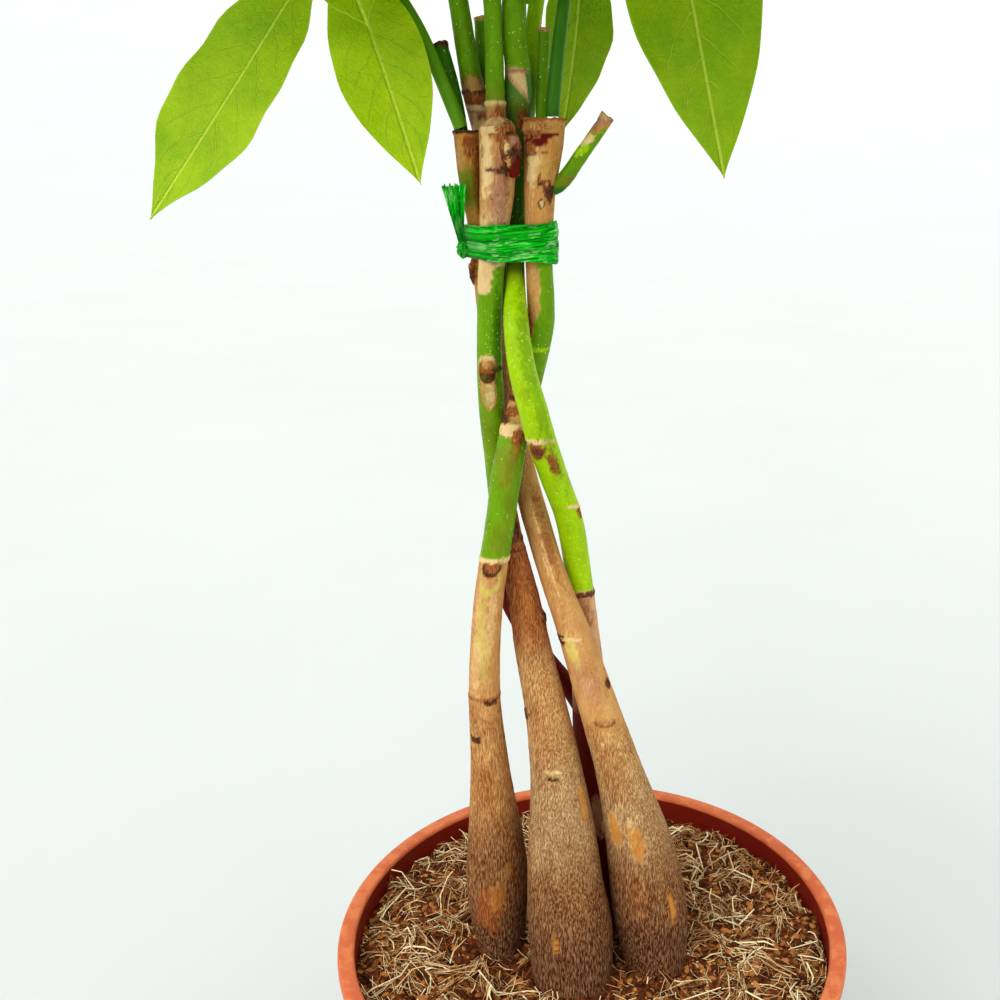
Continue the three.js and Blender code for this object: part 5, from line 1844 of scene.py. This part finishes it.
@dataclass
class Crown:
    """All the leaves: the low ones by place, and those of the tiers by rule."""

    stems: dict[str, list[Station]]
    axis: tuple[float, float] = (-16.0, 2.0)
    seed: int = 7
    heading_stray: float = 6.0
    hub_stray: float = 3.0
    tilt_stray: float = 4.0
    fan_shrink: float = 0.32
    fan_shrink_from: float = 150.0
    droop: float = 0.28
    stalk_gap: float = 0.95
    knee_reach: float = 4.0
    shoulder_share: float = 0.55
    shoulder_sag: float = 6.0
    stalk_radii: Point = (2.2, 1.7, 1.5)
    # how far the crown's blades are darkened: partly tone that differs from leaf to leaf, partly
    # painted shade
    leaflet_tone: float = 0.06
    tone: float = 0.55
    tone_stray: float = 0.2

    def draw(self) -> float:
        """A repeatable draw between -1 and 1."""
        self.seed = (self.seed * DRAW_TIMES + DRAW_PLUS) % DRAW_SPAN
        return self.seed / DRAW_SPAN * 2 - 1

    def low_leaves(self) -> list[Leaf]:
        """The three leaves that hang low."""
        # Their tones are partly painted shade, set for each leaf by how it faces the light.
        first = Leaf(
            "leaf_c_1",
            [
                (256, -35, -7, 1.9), (260, -36.5, -7.4, 1.9), (271, -41, -7, 1.8),
                (283, -46.8, -5, 1.7), (299, -58, 0, 1.5),
            ],
            (306, -68.5, 5),
            Vector((-0.15, -0.82, 0.55)).normalized(),
            [
                Leaflet((232.5, -118, -14), bow=4.5), Leaflet((241.5, -45, -16), bow=1, tone=-0.3),
                Leaflet((277, -51, -46), tone=0.1), Leaflet((314, -158, 24)),
                Leaflet((316, -110, 82)),
            ],
            tone=0.25,
        )
        second = Leaf(
            "leaf_a_1",
            [
                (258.6, -10.4, -8.6, 1.9), (263, -10.2, -8.2, 1.9), (278, -8.6, -5, 1.8),
                (294, -6, -2, 1.6), (320, 1, 4, 1.4),
            ],
            (341, 15, 10),
            Vector((0.1, -0.85, 0.5)).normalized(),
            [
                Leaflet((243, 35, -14), bow=-1.5), Leaflet((306, 104, 8)), Leaflet((296, 70, -62)),
                Leaflet((304, -14, -62)), Leaflet((312, 66, 84)),
            ],
            tone=0.42,
            stalk_tone=0.75,
        )
        third = Leaf(
            "leaf_d_1",
            [(302, -10.6, 12.9, 1.8), (306, -8.6, 19, 1.5), (313, -4.8, 29, 1.4)],
            (318, -2.5, 36),
            Vector((0.2, -0.5, 0.85)).normalized(),
            [
                Leaflet((255, -9, 28), turn=-20), Leaflet((326, 40, 122)), Leaflet((330, -22, 142)),
                Leaflet((334, -66, 100)),
            ],
            tone=0.4,
        )
        return [first, second, third]

    def fan_out(
        self, tier: Tier, hub: np.ndarray, forward: Vector, sideways: Vector, count: int
    ) -> list[Leaflet]:
        """Spreads a leaf's leaflets round its hub.

        Args:
            tier: The leaf's tier.
            hub: Height, x and y of the hub.
            forward: The way that the leaf points.
            sideways: The way to its left.
            count: Number of leaflets.

        Returns:
            The leaflets.
        """
        leaflets = []
        for k in range(count):
            fan = (k - (count - 1) / 2) * tier.spread / count
            size = tier.length * (1 - self.fan_shrink * (abs(fan) / self.fan_shrink_from) ** 1.5)
            turned = math.radians(fan)
            reach = forward * size * math.cos(turned) + sideways * size * math.sin(turned)
            tip = (hub[0] + reach.z - self.droop * size, hub[1] + reach.x, hub[2] + reach.y)
            leaflets.append(Leaflet(tip, tone=self.leaflet_tone * (k % 3 - 1)))
        return leaflets

    def crown_leaf(self, tier: Tier, index: int) -> Leaf:
        """Works out a leaf of a tier.

        Args:
            tier: The tier.
            index: The leaf's number in the tier.

        Returns:
            The leaf.
        """
        node, heading, lift, carrier, foot = tier.leaves[index]
        turned = math.radians(heading + self.heading_stray * self.draw())
        outward = Vector((math.cos(turned), math.sin(turned), 0))
        height = tier.height + lift + self.hub_stray * self.draw()
        x, y = self.axis
        hub = np.array([height, x + tier.reach * outward.x, y + tier.reach * outward.y])
        slope = math.radians(tier.tilt + self.tilt_stray * self.draw())
        up = Vector((0, 0, 1))
        forward = outward * math.cos(slope) - up * math.sin(slope)
        sideways = up.cross(outward)
        facing = forward.cross(sideways).normalized()
        leaflets = self.fan_out(tier, hub, forward, sideways, 5 + index % 2)
        x, y, radius = at_height(self.stems[carrier], foot)
        away = Vector((hub[1] - x, hub[2] - y)).normalized()
        gap = radius + self.stalk_gap
        start = np.array([foot, x + away.x * gap, y + away.y * gap])
        knee = start + np.array([0, away.x, away.y]) * self.knee_reach
        shoulder = start + self.shoulder_share * (hub - start)
        shoulder = shoulder - np.array([self.shoulder_sag, 0, 0])
        rows = zip((start, knee, shoulder), self.stalk_radii)
        stalk = [(*point, size) for point, size in rows]
        tone = self.tone + self.tone_stray * math.sin(2.4 * index + heading)
        return Leaf(node, stalk, tuple(hub), facing, leaflets, tone=tone)

    def tier_leaves(self) -> list[Leaf]:
        """The leaves of the three tiers."""
        wide = (
            ("leaf_d_2", 15, 20, "twin", 338),
            ("leaf_e_1", 135, 24, "e", 318),
            ("leaf_e_2", 195, 0, "e", 300),
            ("leaf_b_1", 255, 16, "front", 330),
            ("leaf_d_3", 315, 0, "d", 290),
        )
        middle = (
            ("leaf_d_4", 45, 6, "twin", 356),
            ("leaf_e_3", 135, 26, "e", 354),
            ("leaf_b_2", 215, 0, "front", 368),
            ("leaf_d_5", 315, 30, "d", 378),
        )
        top = (
            ("leaf_d_6", 80, 0, "d", 404),
            ("leaf_d_7", 200, 12, "d", 416),
            ("leaf_d_8", 320, 24, "d", 428),
        )
        tiers = (
            Tier(height=354, reach=88, tilt=12, length=108, spread=290, leaves=wide),
            Tier(height=398, reach=58, tilt=8, length=102, spread=280, leaves=middle),
            Tier(height=456, reach=20, tilt=16, length=80, spread=240, leaves=top),
        )
        return [self.crown_leaf(tier, k) for tier in tiers for k in range(len(tier.leaves))]

    def build(self, finishes: Finishes) -> list[Object]:
        """Makes every leaf.

        Args:
            finishes: The materials.

        Returns:
            The leaves.
        """
        blade = Blade()
        return [leaf.build(finishes, blade) for leaf in self.low_leaves() + self.tier_leaves()]


@dataclass
class Ribbon:
    """The green ribbon: crinkled wraps round the stems, a knot and a pleated tail."""

    stems: dict[str, list[Station]]
    bottom: float = 221.5
    top: float = 231.0
    gap: float = 0.25
    film: float = 0.3
    flare: float = 0.65
    sag: float = 0.35
    sides: int = 220
    rows: int = 34
    knot: Point = (224.0, -35.6, -5.4)
    knot_size: Point = (1.8, 1.8, 2.5)
    pleats: float = 5.5
    pleat_depth: float = 0.75
    tail_columns: int = 41
    tail_film: float = 0.28
    ripple_reach: float = 9.0
    ripple_rise: float = 26.0

    def taut(self, heights: np.ndarray) -> np.ndarray:
        """Reach of the bundle in each direction.

        Args:
            heights: Heights to read the stems at.

        Returns:
            The support of the bundle for each direction.
        """
        turn = full_turn(self.sides)
        reach = np.full(self.sides, -np.inf)
        for stations in self.stems.values():
            for height in heights:
                x, y, radius = at_height(stations, height)
                reach = np.maximum(reach, x * np.cos(turn) + y * np.sin(turn) + radius)
        return reach

    def loop(self, reach: np.ndarray) -> np.ndarray:
        """Corners of a taut loop from its support."""
        turn = full_turn(self.sides)
        beyond = turn + 2 * np.pi / self.sides
        after = np.roll(reach, -1)
        pitch = math.sin(2 * math.pi / self.sides)
        x = (reach * np.sin(beyond) - after * np.sin(turn)) / pitch
        y = (after * np.cos(turn) - reach * np.cos(beyond)) / pitch
        return np.column_stack([x, y])

    def relief(self, turn: np.ndarray, share: np.ndarray) -> np.ndarray:
        """How far the wraps' outer face stands out, row by row."""
        wide, tall = self.ripple_reach, self.ripple_rise
        ripple = [(math.cos(a) * wide, math.sin(a) * wide, z * tall) for z in share for a in turn]
        ripple = np.array(ripple)
        long = speckle(ripple * np.array([0.5, 0.5, 1.6]), 0.5, 4)
        crinkle = (speckle(ripple, 0.35, 2) + 0.6 * long).reshape(len(share), -1)
        swell = 0.25 + 0.45 * np.sin(np.pi * share) ** 0.5
        swell = swell + 0.3 * np.abs(np.sin(3 * np.pi * share + 0.4))
        return np.maximum(swell[:, None] * 0.75 + 0.28 * crinkle, 0.1)

    def add_wraps(self, draft: Draft) -> None:
        """Adds the crinkled band round the stems."""
        reach = self.taut(np.linspace(self.bottom, self.top, 5))
        turn = full_turn(self.sides)
        inner = self.loop(reach + self.gap)
        outer = self.loop(reach + self.gap + self.film)
        out = unit_rows(outer - inner)
        share = np.linspace(0, 1, self.rows)
        relief = self.relief(turn, share)
        wide = self.ripple_reach
        circle = np.column_stack([np.cos(turn) * wide, np.sin(turn) * wide, turn * 0])
        ragged = 0.35 * speckle(circle, 0.4, 6)
        front = []
        for k, z in enumerate(share):
            flared = self.flare * np.cos(turn) * (2.3 * z - 1.3) - self.sag * (1 - z)
            rise = (self.top - self.bottom) * z
            height = POT_HEIGHT + self.bottom + rise + ragged * (2 * z - 1) + flared
            front.append(np.column_stack([outer + out * relief[k][:, None], height]))
        back = [np.column_stack([inner, row[:, 2]]) for row in (front[-1], front[0])]
        points = np.vstack(front + back)
        faces = grid_faces(self.rows + 2, self.sides, closed=True)
        last = (self.rows + 1) * self.sides
        after = [(j + 1) % self.sides for j in range(self.sides)]
        faces += [(last + j, last + n, n, j) for j, n in enumerate(after)]
        along = (points[:, 0] + 0.6 * points[:, 1]) / 50
        up = np.repeat([*share, 1, 0], self.sides) + 0.1 * np.sin(6 * along)
        draft.add(points, faces, Run=np.column_stack([along, up]))

    def add_knot(self, draft: Draft) -> None:
        """Adds the tight knot."""
        points, faces = ball(5, 1)
        folds = 1 + 0.16 * speckle(points * np.array([1, 1, 3]), 1.6, 1)
        folds = folds + 0.06 * speckle(points, 5, 2)
        run = np.column_stack([points[:, 0] * 0.5, points[:, 2] * 0.3])
        middle = np.array(place(*self.knot))
        points = points * folds[:, None] * np.array(self.knot_size) + middle
        draft.add(points, faces, Run=run)

    def add_tail(self, draft: Draft) -> None:
        """Adds the pleated tail that fans up from the knot."""
        stations = [(0.7, 0, -0.6, 0), (1.2, -0.6, -2, 5), (2.2, -1.1, -3.2, 11)]
        stations = np.array([*stations, (3.5, -1.5, -3.8, 17.2)], float)
        read = rounded(stations, [9, 10, 11])
        share = np.linspace(-1, 1, self.tail_columns)
        rows = []
        for k, (half, x, y, rise) in enumerate(read):
            z = k / (len(read) - 1)
            zigzag = np.abs(((share * self.pleats + 0.15 * math.sin(5 * z)) % 2) - 1)
            pleat = self.pleat_depth * zigzag * (0.5 + 0.6 * z)
            fray = np.where(z > 0.97, 0.7 * np.sin(share * 23) * np.cos(share * 9), 0)
            centre = np.array(place(*self.knot)) + np.array([x, y, rise])
            across, up = centre[0] + share * half, centre[2] + fray + 0.35 * share
            rows.append(np.column_stack([across, centre[1] + pleat, up]))
        front = np.vstack(rows)
        back = front + np.array([0, self.tail_film, 0])
        z = np.repeat(np.linspace(0, 1, len(read)), self.tail_columns)
        run = np.column_stack([z * 0.4, np.tile(share, len(read)) * 0.28])
        faces = sheet_faces(len(read), self.tail_columns)
        draft.add(np.vstack([front, back]), faces, Run=np.vstack([run, run]))

    def build(self, finishes: Finishes) -> Object:
        """Makes the ribbon.

        Args:
            finishes: The materials.

        Returns:
            The ribbon.
        """
        draft = Draft()
        self.add_wraps(draft)
        self.add_knot(draft)
        self.add_tail(draft)
        return dress(draft.build("ribbon_tie", [finishes.ribbon], sharp=35), Slot.RIBBON, "tie")


@dataclass
class Studio:
    """Floor, lights and camera."""

    lens: float = 40.0
    sensor: float = 36.0
    pitch: float = 17.35
    camera_y: float = -0.3194
    camera_z: float = 0.3794
    shift_x: float = -0.092
    floor_rise: float = 4.0
    floor_reach: float = 14.0
    floor_level: float = 2.0
    floor_below: float = 0.0004
    floor_sides: int = 96
    softness: float = 60.0
    sky: tuple[float, float, float, float] = (0.98, 1.0, 0.99, 1)
    sky_strength: float = 0.88

    def add_sun(self, name: str, strength: float, origin: Point) -> None:
        """Adds a very soft sun.

        Args:
            name: The light's name.
            strength: Its strength.
            origin: The side that it shines from.
        """
        light = bpy.data.lights.new(name, "SUN")
        light.energy = strength
        light.angle = math.radians(self.softness)
        link(name, light).rotation_euler = Vector(origin).to_track_quat("Z", "Y").to_euler()

    def make_floor(self, finishes: Finishes) -> Object:
        """Makes a floor that rises gently far away, so that no horizon shows."""
        reach = np.concatenate([[0.001], np.linspace(0.5, self.floor_reach, 28)])
        far = (reach - self.floor_level) / (self.floor_reach - self.floor_level)
        rise = self.floor_rise * np.clip(far, 0, 1) ** 2 - self.floor_below
        points = lathe(list(zip(rise, reach)), self.floor_sides) / MM
        faces = grid_faces(len(reach), self.floor_sides, closed=True, flip=True)
        draft = Draft()
        draft.add(points, faces + [tuple(range(self.floor_sides))])
        return draft.build("floor", [finishes.floor])

    def build(self, finishes: Finishes) -> None:
        """Sets up the studio.

        Args:
            finishes: The materials.
        """
        scene = bpy.context.scene
        self.make_floor(finishes)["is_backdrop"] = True
        world = bpy.data.worlds.new("studio")
        world.use_nodes = True
        sky = world.node_tree.nodes["Background"].inputs
        sky["Color"].default_value = self.sky
        sky["Strength"].default_value = self.sky_strength
        scene.world = world
        self.add_sun("key", 1.9, (-0.7, -0.9, 0.9))
        self.add_sun("fill", 0.5, (1.0, -0.6, 0.8))
        scene.view_settings.view_transform = "Standard"
        scene.view_settings.look = "Medium High Contrast"
        camera = bpy.data.cameras.new("camera")
        camera.lens = self.lens
        camera.sensor_width = self.sensor
        camera.shift_x = self.shift_x
        camera.clip_start = 0.01
        camera.clip_end = 100
        made = link("camera", camera)
        made.location = (0, self.camera_y, self.camera_z)
        made.rotation_euler = (math.radians(90 - self.pitch), 0, 0)
        scene.camera = made


def corners() -> list[list[float]]:
    """The lowest and highest corner of what shows, as plain lists."""
    return [[float(x) for x in corner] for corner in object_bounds()]


def main() -> None:
    """Builds the plant and its studio."""
    logging.basicConfig(level=logging.INFO, format="%(name)s: %(message)s")
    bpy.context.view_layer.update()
    finishes = Finishes.make()
    scatter = Scatter()
    stems = make_stems()
    paths = {stem.node[-1]: stem.limbs[0].stations for stem in stems}
    pot = Pot()
    pot.build(finishes)
    feet = [at_height(path, -SOIL_DEPTH) for path in paths.values()]
    Soil(pot, feet).build(finishes, scatter)
    for seed, stem in enumerate(stems):
        stem.build(finishes, scatter, seed)
    shoots = {"front": stems[1].limbs[1].stations, "twin": stems[3].limbs[1].stations}
    Crown({**paths, **shoots}).build(finishes)
    Ribbon(paths).build(finishes)
    Studio().build(finishes)
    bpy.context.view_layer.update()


if __name__ == "__main__":
    main()
